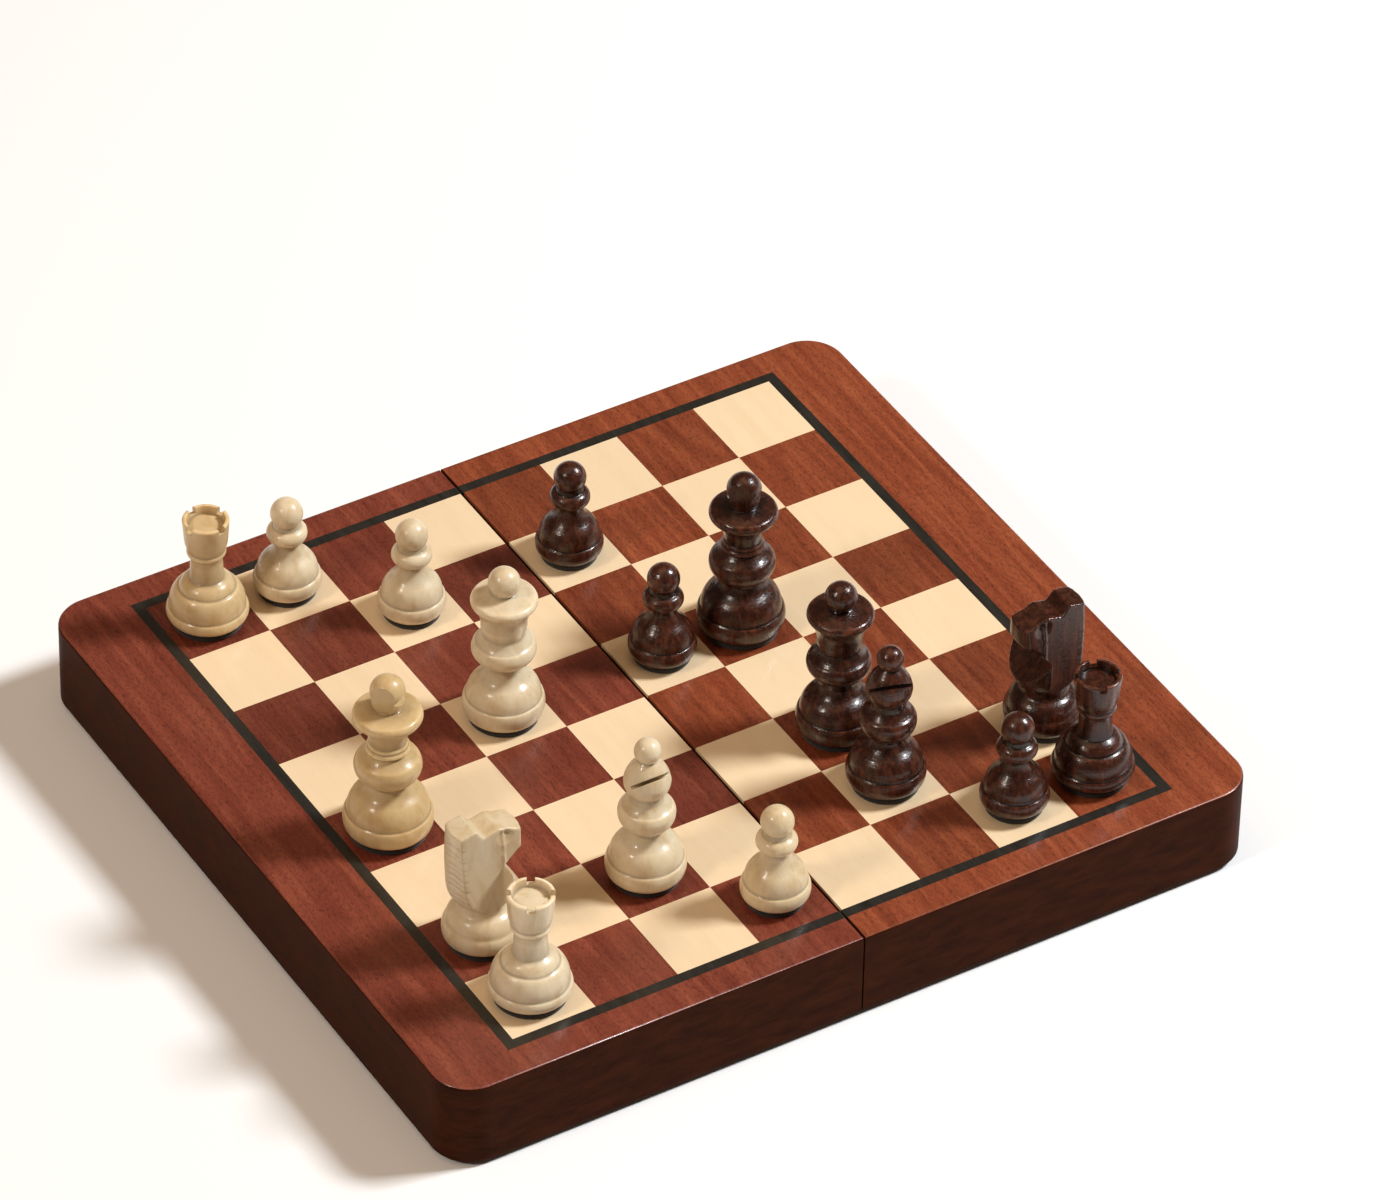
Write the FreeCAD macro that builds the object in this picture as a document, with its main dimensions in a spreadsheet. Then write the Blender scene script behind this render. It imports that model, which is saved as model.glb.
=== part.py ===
"""A folding magnetic travel chess set, open for play.

Two shallow wooden trays are hinged along their inner edges. Turned over, they make the
playing surface; shut, they make the box that stores the men. X runs across the seam, from
the white side to the black side, Y runs along the seam and Z points up. The origin is under
the middle of the board, on the surface that the open board stands on. Millimetres.
"""
import FreeCAD, Part
import math
import os
import re

import Sketcher

V = FreeCAD.Vector
TURN = FreeCAD.Rotation

# Driving dimensions. Each one can be changed by itself.
SIZES = {
    # playing surface
    "square": 20.0,
    "side_border": 20.0,
    "end_border": 10.0,
    "inlay_width": 2.5,
    "surface_layer": 0.8,
    "corner_radius": 9.0,
    "seam_gap": 0.4,
    # box halves
    "half_height": 21.0,
    "outer_rail": 6.0,
    "end_rail": 5.0,
    "seam_rail": 7.0,
    "steel_thickness": 0.3,
    "deck_thickness": 2.0,
    # storage tray
    "lining_thickness": 0.4,
    "divider_thickness": 1.2,
    "divider_depth": 11.0,
    "officer_slot": 44.5,
    "pawn_slot": 28.0,
    "lying_clearance": 0.2,
    # hinges
    "barrel_radius": 1.1,
    "pin_radius": 0.6,
    "pin_clearance": 0.05,
    "barrel_clearance": 0.15,
    "hinge_length": 16.0,
    "hinge_offset": 55.0,
    "leaf_width": 6.2,
    "leaf_thickness": 0.5,
    "knuckle_clearance": 0.1,
    "screw_spacing": 9.0,
    "screw_inset": 3.8,
    "screw_head_radius": 1.1,
    "screw_shank_radius": 0.55,
    "screw_length": 5.0,
    # magnets that hold the box shut
    "catch_radius": 2.5,
    "catch_thickness": 3.0,
    "catch_offset": 60.0,
    # what every man has under its foot
    "pad_thickness": 2.0,
    "pad_inset": 1.2,
    "magnet_radius": 4.0,
    "magnet_thickness": 2.0,
    # carving
    "rook_notch_width": 1.6,
    "rook_notch_depth": 1.3,
    "mitre_slot_width": 0.8,
    "mitre_slot_depth": 3.5,
    "mitre_slot_level": 23.9,
    "knight_cheek_low": 5.0,
    "knight_cheek_high": 3.3,
    "finial_notch_depth": 1.27,
    "finial_notch_rise": 1.6,
    # how far every cutting tool reaches past what it cuts
    "overcut": 1.0,
}

# Turned outlines, from the foot up: name, radius, level above the wooden foot, and the
# sweep in degrees of the arc to the next point: above 0 it swells, below 0 it is hollow,
# 0 is a straight line, and BALL is an arc centred on the axis. The last point is on the axis.
BALL = "ball"
OUTLINES = {
    "pawn": (
        ("foot", 6.9, 0.0, 50),
        ("rim", 7.6, 1.4, 40),
        ("rim_top", 7.15, 3.6, 0),
        ("groove", 6.8, 3.8, 55),
        ("shoulder", 4.7, 8.4, -40),
        ("waist", 2.8, 11.6, 0),
        ("bead_foot", 2.9, 12.7, 160),
        ("bead_top", 3.0, 16.5, 0),
        ("throat", 2.7, 17.5, BALL),
        ("crown", 0.0, 23.6, 0),
    ),
    "rook": (
        ("foot", 8.4, 0.0, 50),
        ("rim", 9.15, 1.4, 35),
        ("rim_top", 8.75, 2.8, 0),
        ("groove", 8.4, 3.0, 55),
        ("shoulder", 6.7, 7.8, 0),
        ("step", 6.2, 8.0, 50),
        ("step_top", 4.2, 10.3, 0),
        ("waist", 3.75, 10.6, 0),
        ("neck", 3.7, 14.6, -25),
        ("cup_foot", 3.9, 17.3, 0),
        ("cup_bead", 4.15, 17.5, 25),
        ("cup_line", 4.75, 21.2, 0),
        ("cup_wall", 4.95, 21.5, 0),
        ("cup_edge", 5.2, 26.3, 90),
        ("cup_rim", 4.9, 26.6, 0),
        ("cup_lip", 4.1, 26.6, 0),
        ("cup_floor", 3.85, 24.6, 0),
        ("crown", 0.0, 25.3, 0),
    ),
    "bishop": (
        ("foot", 8.0, 0.0, 50),
        ("rim", 8.7, 1.5, 40),
        ("rim_top", 8.35, 4.1, 0),
        ("groove", 8.0, 4.3, 55),
        ("shoulder", 5.6, 8.9, -45),
        ("waist", 3.4, 11.6, 0),
        ("bulb_foot", 3.5, 12.5, 70),
        ("bulb", 6.25, 16.2, 50),
        ("bulb_top", 5.6, 18.3, 0),
        ("bulb_line", 5.2, 18.5, -25),
        ("collar", 3.6, 20.3, 0),
        ("mitre_foot", 3.5, 21.8, 55),
        ("mitre", 5.1, 25.4, 45),
        ("throat", 1.9, 30.85, BALL),
        ("crown", 0.0, 36.05, 0),
    ),
    "queen": (
        ("foot", 8.2, 0.0, 50),
        ("rim", 8.95, 1.6, 40),
        ("rim_top", 8.6, 4.6, 0),
        ("groove", 8.25, 4.8, 55),
        ("shoulder", 5.9, 9.2, -45),
        ("waist", 3.75, 11.8, 0),
        ("bulb_foot", 3.8, 14.0, 60),
        ("bulb", 7.1, 17.2, 50),
        ("bulb_top", 6.4, 19.5, 0),
        ("bulb_line", 6.05, 19.7, -25),
        ("neck_foot", 4.5, 21.8, 0),
        ("neck", 5.1, 24.0, -40),
        ("coronet", 6.9, 29.9, 120),
        ("coronet_rim", 6.6, 31.9, -12),
        ("throat", 2.5, 33.05, BALL),
        ("crown", 0.0, 39.17, 0),
    ),
    "king": (
        ("foot", 9.0, 0.0, 50),
        ("rim", 9.75, 1.7, 40),
        ("rim_top", 9.35, 4.4, 0),
        ("groove", 9.0, 4.6, 55),
        ("shoulder", 6.4, 9.6, -45),
        ("waist", 4.55, 12.4, 0),
        ("bulb_foot", 4.6, 13.1, 60),
        ("bulb", 7.3, 16.2, 50),
        ("bulb_top", 6.6, 19.0, 0),
        ("bulb_line", 6.3, 19.2, -25),
        ("neck_foot", 4.2, 21.6, 40),
        ("neck_bead", 4.3, 23.4, 0),
        ("neck", 4.7, 25.6, -40),
        ("disc", 7.1, 29.5, 110),
        ("disc_rim", 6.9, 31.8, 0),
        ("finial_foot", 3.0, 32.7, 0),
        ("finial", 3.5, 33.9, 0),
        ("dome", 3.85, 37.0, BALL),
        ("crown", 0.0, 40.8, 0),
    ),
    "knight": (
        ("foot", 7.95, 0.0, 50),
        ("rim", 8.65, 1.5, 40),
        ("rim_top", 8.3, 4.0, 0),
        ("groove", 7.95, 4.2, 55),
        ("shoulder", 6.2, 7.6, -45),
        ("waist", 5.0, 8.6, 60),
        ("collar", 5.0, 9.9, 0),
        ("chest_foot", 5.1, 10.1, 50),
        ("chest", 7.8, 14.6, 6),
        ("poll", 7.8, 32.4, 0),
        ("crown", 0.0, 32.4, 0),
    ),
}

# The knight's side view, facing +X, measured from its axis and its wooden foot. What lies
# above the first line and in front of the second one is carved away. Both lines run past
# the blank. Ahead of CHEST_FRONT the sides are left round below the throat.
KNIGHT_TOP = ((-8.6, 30.8), (-3.4, 31.9), (-1.5, 29.6), (1.9, 30.5), (8.6, 28.2))
KNIGHT_THROAT = ((8.6, 24.4), (6.6, 23.8), (3.0, 20.5), (7.6, 13.4), (8.6, 12.0))
CHEST_FRONT = 2.9

FILES = "hgfedcba"
BACK_RANK = ("rook", "knight", "bishop", "king", "queen", "bishop", "knight", "rook")
# Men on the board: name, square across and along the seam, and the way each one is turned.
ON_BOARD = (
    ("white_king", 0, 3, 0),
    ("white_queen", 2, 4, 0),
    ("white_rook_a", 0, 7, 15),
    ("white_rook_h", 0, 0, -30),
    ("white_knight_g", 0, 1, 0),
    ("white_bishop_f", 2, 1, -90),
    ("white_pawn_a", 1, 7, 0),
    ("white_pawn_b", 2, 6, 0),
    ("white_pawn_h", 3, 0, 0),
    ("black_king", 5, 4, 90),
    ("black_queen", 5, 2, 0),
    ("black_rook_h", 7, 0, -20),
    ("black_knight_g", 7, 1, 180),
    ("black_bishop_f", 5, 1, -108),
    ("black_pawn_b", 4, 6, 0),
    ("black_pawn_d", 4, 4, 0),
    ("black_pawn_h", 6, 0, 0),
)

# Sizes that follow from the ones above.
DERIVED = {
    "rim_level": "barrel_radius",
    "board_top": "rim_level + half_height",
    "layer_bottom": "board_top - surface_layer",
    "steel_bottom": "layer_bottom - steel_thickness",
    "deck_bottom": "steel_bottom - deck_thickness",
    "lining_bottom": "deck_bottom - lining_thickness",
    "divider_bottom": "lining_bottom - divider_depth",
    "seam_face": "seam_gap / 2",
    "field": "4 * square",
    "half_reach": "field + side_border",
    "half_span": "field + end_border",
    "tray_near": "seam_face + seam_rail",
    "tray_far": "half_reach - outer_rail",
    "tray_end": "half_span - end_rail",
    "slot_width": "(2 * tray_end - 7 * divider_thickness) / 8",
    "slot_pitch": "slot_width + divider_thickness",
}

doc = FreeCAD.newDocument("ChessSet")
sheet = doc.addObject("Spreadsheet::Sheet", "Sizes")


def enter(row, alias, content):
    sheet.set(f"A{row}", alias)
    sheet.set(f"B{row}", content)
    sheet.setAlias(f"B{row}", alias)


def fill_sheet():
    driving = dict(SIZES)
    for kind, outline in OUTLINES.items():
        for name, radius, level, _ in outline:
            driving[f"{kind}_{name}_radius"] = radius
            driving[f"{kind}_{name}_level"] = level
    for row, (alias, value) in enumerate(driving.items(), 1):
        enter(row, alias, repr(value))
    for row, (alias, formula) in enumerate(DERIVED.items(), len(driving) + 1):
        enter(row, alias, f"={formula}")
    doc.recompute()
    return [*driving, *DERIVED]


ALIASES = fill_sheet()


def size(alias):
    return float(getattr(sheet, alias))


def bound(text):
    """An expression with each size in it read from the sheet."""
    return re.sub(r"[a-z]\w*", lambda m: f"Sizes.{m[0]}" if m[0] in ALIASES else m[0], text)


def bind(thing, **values):
    for path, text in values.items():
        thing.setExpression(path.replace("__", "."), bound(str(text)))
    return thing


def put(thing, x="0", y="0", z="0"):
    bind(thing, Placement__Base__x=x, Placement__Base__y=y, Placement__Base__z=z)
    return thing


def add(kind, name):
    thing = doc.addObject(kind, name)
    thing.Label = name
    return thing


def box(name, x, y, z):
    """x, y and z are pairs of expressions: where the box starts and ends."""
    made = bind(
        add("Part::Box", name),
        Length=f"({x[1]}) - ({x[0]})",
        Width=f"({y[1]}) - ({y[0]})",
        Height=f"({z[1]}) - ({z[0]})",
    )
    return put(made, x[0], y[0], z[0])


def across(side, near, far):
    """The X range from near to far on one side of the seam: -1 is white's, 1 is black's."""
    return (near, far) if side > 0 else (f"-({far})", f"-({near})")


def out(side, distance):
    return distance if side > 0 else f"-({distance})"


def cylinder(name, radius, height, x="0", y="0", z="0"):
    return put(bind(add("Part::Cylinder", name), Radius=radius, Height=height), x, y, z)


def along_seam(thing):
    """Lays a cylinder along Y."""
    thing.Placement.Rotation = TURN(V(1, 0, 0), -90)
    return thing


def cut(name, base, *tools):
    tool = tools[0] if len(tools) == 1 else fuse(f"{name}_tools", *tools)
    made = add("Part::Cut", name)
    made.Base, made.Tool = base, tool
    return made


def fuse(name, *shapes):
    made = add("Part::MultiFuse", name)
    made.Shapes = list(shapes)
    return made


def group(name, *solids):
    """Several separate solids as one sub-part."""
    made = add("Part::Compound", name)
    made.Links = list(solids)
    return made


NODES = []


def node(thing):
    NODES.append(thing)
    return thing


# ---- Turned and carved men -------------------------------------------------------------


def arc_middle(start, end, sweep):
    """The point halfway along an arc from start to end that swells away from the axis."""
    chord = end - start
    if sweep == BALL:
        centre = V(0, (end.y**2 - start.y**2 - start.x**2) / (2 * chord.y), 0)
        return centre + ((start + end) / 2 - centre).normalize() * (end - centre).Length
    sagitta = chord.Length / 2 * math.tan(math.radians(sweep) / 4)
    outward = V(chord.y, -chord.x, 0).normalize()
    return (start + end) / 2 + outward * sagitta


def outline_sketch(body, kind):
    """The closed outline that is turned about the axis. Each point is bound to the sheet."""
    sketch = body.newObject("Sketcher::SketchObject", f"{kind}_outline")
    plane = next(f for f in body.Origin.OriginFeatures if f.Role == "XZ_Plane")
    sketch.AttachmentSupport = [(plane, "")]
    sketch.MapMode = "FlatFace"
    stations = [(name, sweep) for name, _, _, sweep in OUTLINES[kind]]
    points = [V(size(f"{kind}_{n}_radius"), size(f"{kind}_{n}_level"), 0) for n, _ in stations]
    foot = sketch.addGeometry(Part.LineSegment(V(0, points[0].y, 0), points[0]))
    edges = [(foot, 1, 2)]
    for start, end, (_, sweep) in zip(points, points[1:], stations):
        if not sweep:
            edges.append((sketch.addGeometry(Part.LineSegment(start, end)), 1, 2))
            continue
        middle = arc_middle(start, end, sweep)
        swells = sweep == BALL or sweep > 0
        ends = (start, end) if swells else (end, start)
        arc = sketch.addGeometry(Part.Arc(ends[0], middle, ends[1]))
        if sweep == BALL:
            sketch.addConstraint(Sketcher.Constraint("PointOnObject", arc, 3, -2))
        else:
            sketch.addConstraint(Sketcher.Constraint("Angle", arc, math.radians(abs(sweep))))
        edges.append((arc, 1, 2) if swells else (arc, 2, 1))
    axis = sketch.addGeometry(Part.LineSegment(points[-1], V(0, points[0].y, 0)))
    edges.append((axis, 1, 2))
    for (edge, _, last), (after, first, _) in zip(edges, edges[1:] + edges[:1]):
        sketch.addConstraint(Sketcher.Constraint("Coincident", edge, last, after, first))
    sketch.addConstraint(Sketcher.Constraint("PointOnObject", foot, 1, -2))
    for (edge, _, last), (name, _), point in zip(edges, stations, points):
        for way, place, value in (("X", "radius", point.x), ("Y", "level", point.y)):
            if value == 0:
                target = -1 if way == "Y" else -2
                sketch.addConstraint(Sketcher.Constraint("PointOnObject", edge, last, target))
                continue
            made = Sketcher.Constraint(f"Distance{way}", -1, 1, edge, last, value)
            index = sketch.addConstraint(made)
            sketch.renameConstraint(index, f"{name}_{place}")
            sketch.setExpression(f"Constraints.{name}_{place}", bound(f"{kind}_{name}_{place}"))
    sketch.addConstraint(Sketcher.Constraint("Horizontal", foot))
    return sketch


def turned(kind):
    body = add("PartDesign::Body", f"{kind}_turning")
    sketch = outline_sketch(body, kind)
    doc.recompute()
    turning = body.newObject("PartDesign::Revolution", f"{kind}_revolution")
    turning.Profile = sketch
    turning.ReferenceAxis = (sketch, ["V_Axis"])
    turning.Angle = 360
    return body


def rook_notches():
    """Two crossing bars, which cut four notches in the rim of the cup."""
    reach = "(rook_cup_edge_radius + overcut)"
    half = "rook_notch_width / 2"
    height = ("rook_cup_rim_level - rook_notch_depth", "rook_cup_rim_level + overcut")
    one = box("rook_bar_one", (f"-{reach}", reach), (f"-{half}", half), height)
    two = box("rook_bar_two", (f"-{half}", half), (f"-{reach}", reach), height)
    hollow = cylinder(
        "rook_hollow",
        "rook_cup_floor_radius",
        "rook_cup_rim_level - rook_cup_floor_level + 2 * overcut",
        z="rook_cup_floor_level - overcut",
    )
    return cut("rook_bars", fuse("rook_cross", one, two), hollow)


def mitre_slot():
    """A thin slab that falls 45 degrees inwards from the front of the mitre."""
    made = bind(
        add("Part::Box", "mitre_slab"),
        Length="4 * bishop_mitre_radius",
        Width="4 * bishop_mitre_radius",
        Height="mitre_slot_width",
    )
    made.Placement.Rotation = TURN(V(0, 1, 0), -45)
    depth = "(bishop_mitre_radius - mitre_slot_depth)"
    return put(made, depth, "-2 * bishop_mitre_radius", f"mitre_slot_level + {depth}")


def finial_notches():
    """Two V grooves on opposite sides of the king's finial, which leave the arms of a cross.
    Each is cut by a square bar that stands on its edge."""
    made = []
    for way in (-1, 1):
        bar = bind(
            add("Part::Box", f"finial_bar_{'low' if way < 0 else 'high'}"),
            Length="finial_notch_depth * sqrt(2)",
            Width="4 * king_dome_radius",
            Height="finial_notch_depth * sqrt(2)",
        )
        bar.Placement.Rotation = TURN(V(0, 1, 0), 45)
        middle = f"{way} * king_dome_radius - finial_notch_depth"
        level = "king_finial_level + finial_notch_rise"
        made.append(put(bar, middle, "-2 * king_dome_radius", level))
    return made


def carving(name, outline, along):
    """A flat outline drawn through along a vector, as a tool for the carver."""
    made = add("Part::Feature", name)
    made.Shape = Part.Face(Part.makePolygon([*outline, outline[0]])).extrude(along)
    return made


def knight_cuts():
    """What the carver takes off the turned blank: the top, the throat and the sides."""
    wide, tall = 2 * size("knight_poll_radius"), 2 * size("knight_poll_level")
    low, high = size("knight_chest_foot_level"), size("knight_poll_level")
    slope = (size("knight_cheek_low") - size("knight_cheek_high")) / (high - low)
    top = [*KNIGHT_TOP, (wide, tall), (-wide, tall)]
    throat = [*KNIGHT_THROAT, (wide, KNIGHT_THROAT[-1][1]), (wide, KNIGHT_THROAT[0][1])]
    cuts = [
        carving(f"knight_{name}_cut", [V(x, -wide, z) for x, z in line], V(0, 2 * wide, 0))
        for name, line in (("top", top), ("throat", throat))
    ]
    throat_level = min(KNIGHT_THROAT)[1]
    for side in (-1, 1):
        for part, back, front, foot in (
            ("neck", -wide, CHEST_FRONT, size("knight_collar_level")),
            ("head", CHEST_FRONT, wide, throat_level),
        ):
            cheek = [size("knight_cheek_low") - slope * (z - low) for z in (foot, tall)]
            outline = [
                V(back, side * y, z)
                for y, z in ((cheek[0], foot), (wide, foot), (wide, tall), (cheek[1], tall))
            ]
            name = f"knight_{part}_cut_{'right' if side < 0 else 'left'}"
            cuts.append(carving(name, outline, V(front - back, 0, 0)))
    return cuts


CARVED = {
    "rook": lambda: [rook_notches()],
    "bishop": lambda: [mitre_slot()],
    "king": finial_notches,
    "knight": knight_cuts,
}


def kind_pieces(kind):
    """The wood of one kind of man with its pocket, its magnet and the pad under its foot."""
    wood = turned(kind)
    pocket = cylinder(f"{kind}_pocket", "magnet_radius", "magnet_thickness + overcut", z="-overcut")
    wood = cut(f"{kind}_wood", wood, pocket, *CARVED.get(kind, list)())
    put(wood, z="pad_thickness")
    magnet = cylinder(f"{kind}_magnet", "magnet_radius", "magnet_thickness", z="pad_thickness")
    pad = cylinder(f"{kind}_pad", f"{kind}_rim_radius - pad_inset", "pad_thickness")
    return wood, magnet, pad


def place_on_board(man, column, row, angle):
    man.Placement.Rotation = TURN(V(0, 0, 1), angle)
    put(man, f"({column} - 3.5) * square", f"({row} - 3.5) * square", "board_top")


def place_in_tray(man, kind, side, slot):
    """Lies a man in its slot under the deck. White's officers lie by the outer rail and
    black's by the seam, so that each faces a pawn when the box is shut."""
    by_outer_rail = (kind != "pawn") == (side < 0)
    foot_side = side if by_outer_rail else -side
    man.Placement.Rotation = TURN(V(0, 1, 0), -90 * foot_side)
    near = "tray_near + lying_clearance"
    far = "tray_far - lying_clearance"
    put(
        man,
        out(side, far if by_outer_rail else near),
        f"({slot} - 3.5) * slot_pitch",
        f"lining_bottom - {kind}_rim_radius - lying_clearance",
    )


def men():
    pieces = {kind: kind_pieces(kind) for kind in OUTLINES}
    played = {name: place for name, *place in ON_BOARD}
    for side, colour in ((-1, "white"), (1, "black")):
        army = [(f"{colour}_pawn_{letter}", "pawn", slot) for slot, letter in enumerate(FILES)]
        for slot, kind in enumerate(BACK_RANK):
            letter = "" if kind in ("king", "queen") else f"_{FILES[slot]}"
            army.append((f"{colour}_{kind}{letter}", kind, slot))
        for name, kind, slot in army:
            man = node(group(name, *pieces[kind]))
            if name in played:
                place_on_board(man, *played[name])
            else:
                place_in_tray(man, kind, side, slot)


# ---- One half of the box ---------------------------------------------------------------


def corner_tools(half, side):
    """What is cut off the two outer corners of a half to round them."""
    tools = []
    for end, label in ((-1, "low"), (1, "high")):
        x = out(side, "half_reach - corner_radius")
        y = f"{end} * (half_span - corner_radius)"
        block = box(
            f"{half}_corner_block_{label}",
            across(side, "half_reach - corner_radius", "half_reach + overcut"),
            across(end, "half_span - corner_radius", "half_span + overcut"),
            ("0", "board_top + overcut"),
        )
        round_part = cylinder(
            f"{half}_corner_round_{label}", "corner_radius", "board_top + 2 * overcut", x, y,
            "-overcut",
        )
        tools.append(cut(f"{half}_corner_{label}", block, round_part))
    return tools


def hinge_relief(half, side, end):
    """The mortise for one hinge leaf and the hollow for its barrel."""
    middle = f"{end} * hinge_offset"
    span = (f"{middle} - hinge_length / 2", f"{middle} + hinge_length / 2")
    leaf = box(
        f"{half}_mortise_{'low' if end < 0 else 'high'}",
        across(side, "0", "barrel_radius + leaf_width"),
        span,
        ("rim_level - overcut", "rim_level + leaf_thickness"),
    )
    barrel = cylinder(
        f"{half}_hollow_{'low' if end < 0 else 'high'}",
        "barrel_radius + barrel_clearance",
        "hinge_length + 2 * barrel_clearance",
        y=f"{span[0]} - barrel_clearance",
        z="rim_level",
    )
    return leaf, along_seam(barrel)


def screw_places(side, end):
    for step in (-1, 1):
        x = out(side, "barrel_radius + screw_inset")
        yield f"{x}", f"{end} * hinge_offset + {step} * screw_spacing / 2"


def screw_shape(name, x, y):
    """A countersunk screw, driven upwards from the rim."""
    head = bind(
        add("Part::Cone", f"{name}_head"),
        Radius1="screw_head_radius", Radius2="screw_shank_radius", Height="leaf_thickness",
    )
    put(head, x, y, "rim_level")
    shank = cylinder(
        f"{name}_shank", "screw_shank_radius", "screw_length - leaf_thickness",
        x, y, "rim_level + leaf_thickness",
    )
    return fuse(name, head, shank)


def screws(half, side):
    made = []
    for end in (-1, 1):
        for step, (x, y) in enumerate(screw_places(side, end)):
            label = "low" if end < 0 else "high"
            made.append(screw_shape(f"{half}_screw_{label}_{step}", x, y))
    return made


def rails(half, side, corners, screw_holes):
    """The outer rail, the rail along the seam and the two end rails between them."""
    height = ("rim_level", "layer_bottom")
    whole = ("-half_span", "half_span")
    outer = box(f"{half}_outer_blank", across(side, "tray_far", "half_reach"), whole, height)
    catches = [
        cylinder(
            f"{half}_catch_hole_{label}", "catch_radius", "catch_thickness + overcut",
            out(side, "half_reach - outer_rail / 2"), f"{end} * catch_offset",
            "rim_level - overcut",
        )
        for end, label in ((-1, "low"), (1, "high"))
    ]
    node(cut(f"{half}_outer_rail", outer, *corners, *catches))
    seam = box(f"{half}_seam_blank", across(side, "seam_face", "tray_near"), whole, height)
    reliefs = [tool for end in (-1, 1) for tool in hinge_relief(half, side, end)]
    node(cut(f"{half}_seam_rail", seam, *reliefs, *screw_holes))
    ends = []
    for end, label in ((-1, "low"), (1, "high")):
        blank = box(
            f"{half}_end_blank_{label}",
            across(side, "tray_near", "tray_far"),
            across(end, "tray_end", "half_span"),
            height,
        )
        ends.append(cut(f"{half}_end_rail_{label}", blank, corners[end > 0]))
    node(group(f"{half}_end_rails", *ends))


def surface(half, side, corners):
    """The playing squares, the black line around them and the border."""
    layer = ("layer_bottom", "board_top")
    squares = {"light": [], "dark": []}
    for column in range(4):
        near = "seam_face" if column == 0 else f"{column} * square"
        for row in range(8):
            board_column = 4 + column if side > 0 else 3 - column
            tone = "dark" if (board_column + row) % 2 else "light"
            x = across(side, near, f"{column + 1} * square")
            y = (f"({row} - 4) * square", f"({row} - 3) * square")
            squares[tone].append(box(f"{half}_{tone}_{column}_{row}", x, y, layer))
    for tone, made in squares.items():
        node(group(f"{half}_{tone}_squares", *made))
    outer_line = ("field", "field + inlay_width")
    lines = [
        box(
            f"{half}_line_side", across(side, *outer_line),
            ("-field - inlay_width", "field + inlay_width"), layer,
        )
    ]
    borders = [
        cut(
            f"{half}_border_side",
            box(
                f"{half}_border_side_blank", across(side, "field + inlay_width", "half_reach"),
                ("-half_span", "half_span"), layer,
            ),
            *corners,
        )
    ]
    for end, label in ((-1, "low"), (1, "high")):
        x = across(side, "seam_face", "field")
        lines.append(box(f"{half}_line_{label}", x, across(end, *outer_line), layer))
        borders.append(
            box(
                f"{half}_border_{label}",
                across(side, "seam_face", "field + inlay_width"),
                across(end, "field + inlay_width", "half_span"),
                layer,
            )
        )
    node(group(f"{half}_inlay_line", *lines))
    node(group(f"{half}_border_strips", *borders))


def tray(half, side):
    """The sheets between the rails and the flocked lining with its dividers."""
    x = across(side, "tray_near", "tray_far")
    y = ("-tray_end", "tray_end")
    node(box(f"{half}_steel_sheet", x, y, ("steel_bottom", "layer_bottom")))
    node(box(f"{half}_deck", x, y, ("deck_bottom", "steel_bottom")))
    sheet_part = box(f"{half}_lining_sheet", x, y, ("lining_bottom", "deck_bottom"))
    depth = ("divider_bottom", "lining_bottom")
    if side < 0:
        officers = ("tray_far - officer_slot", "tray_far")
        pawns = ("tray_near", "tray_near + pawn_slot")
        cross = ("tray_far - officer_slot - divider_thickness", "tray_near + pawn_slot")
    else:
        officers = ("tray_near", "tray_near + officer_slot")
        pawns = ("tray_far - pawn_slot", "tray_far")
        cross = ("tray_near + officer_slot", "tray_far - pawn_slot - divider_thickness")
    strips = [
        box(
            f"{half}_cross_strip_{step}",
            across(side, near, f"{near} + divider_thickness"), y, depth,
        )
        for step, near in enumerate(cross)
    ]
    for row, reach in (("officer", officers), ("pawn", pawns)):
        for step in range(1, 8):
            middle = f"({step} - 4) * slot_pitch"
            width = (f"{middle} - divider_thickness / 2", f"{middle} + divider_thickness / 2")
            strips.append(box(f"{half}_{row}_strip_{step}", across(side, *reach), width, depth))
    node(group(f"{half}_storage_tray", sheet_part, *strips))


def knuckle(name, start, length, radius):
    made = cylinder(name, radius, length, y=start, z="rim_level")
    return along_seam(made)


def hinge_leaf(half, side, end, screw_heads):
    """One leaf of a butt hinge. White's carries the two outer knuckles, black's the middle."""
    label = "low" if end < 0 else "high"
    start = f"{end} * hinge_offset - hinge_length / 2"
    third = "hinge_length / 3"
    plate = box(
        f"{half}_plate_{label}",
        across(side, "barrel_radius / 2", "barrel_radius + leaf_width"),
        (start, f"{start} + hinge_length"),
        ("rim_level", "rim_level + leaf_thickness"),
    )
    spans = [(start, third), (f"{start} + 2 * {third}", third)]
    middle = [(f"{start} + {third}", third)]
    mine, theirs = (spans, middle) if side < 0 else (middle, spans)
    gap = "knuckle_clearance"
    rooms = [
        knuckle(
            f"{half}_room_{label}_{step}", f"{first} - {gap} / 2", f"{length} + {gap}",
            f"barrel_radius + {gap}",
        )
        for step, (first, length) in enumerate(theirs)
    ]
    barrels = [
        knuckle(
            f"{half}_barrel_{label}_{step}", f"{first} + {gap} / 2", f"{length} - {gap}",
            "barrel_radius",
        )
        for step, (first, length) in enumerate(mine)
    ]
    bore_radius = "pin_radius" if side < 0 else "pin_radius + pin_clearance"
    bore = knuckle(
        f"{half}_bore_{label}", f"{start} - overcut", "hinge_length + 2 * overcut", bore_radius
    )
    plate = cut(f"{half}_plate_cleared_{label}", plate, *rooms)
    blank = fuse(f"{half}_leaf_blank_{label}", plate, *barrels)
    return cut(f"{half}_leaf_{label}", blank, bore, *screw_heads)


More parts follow.
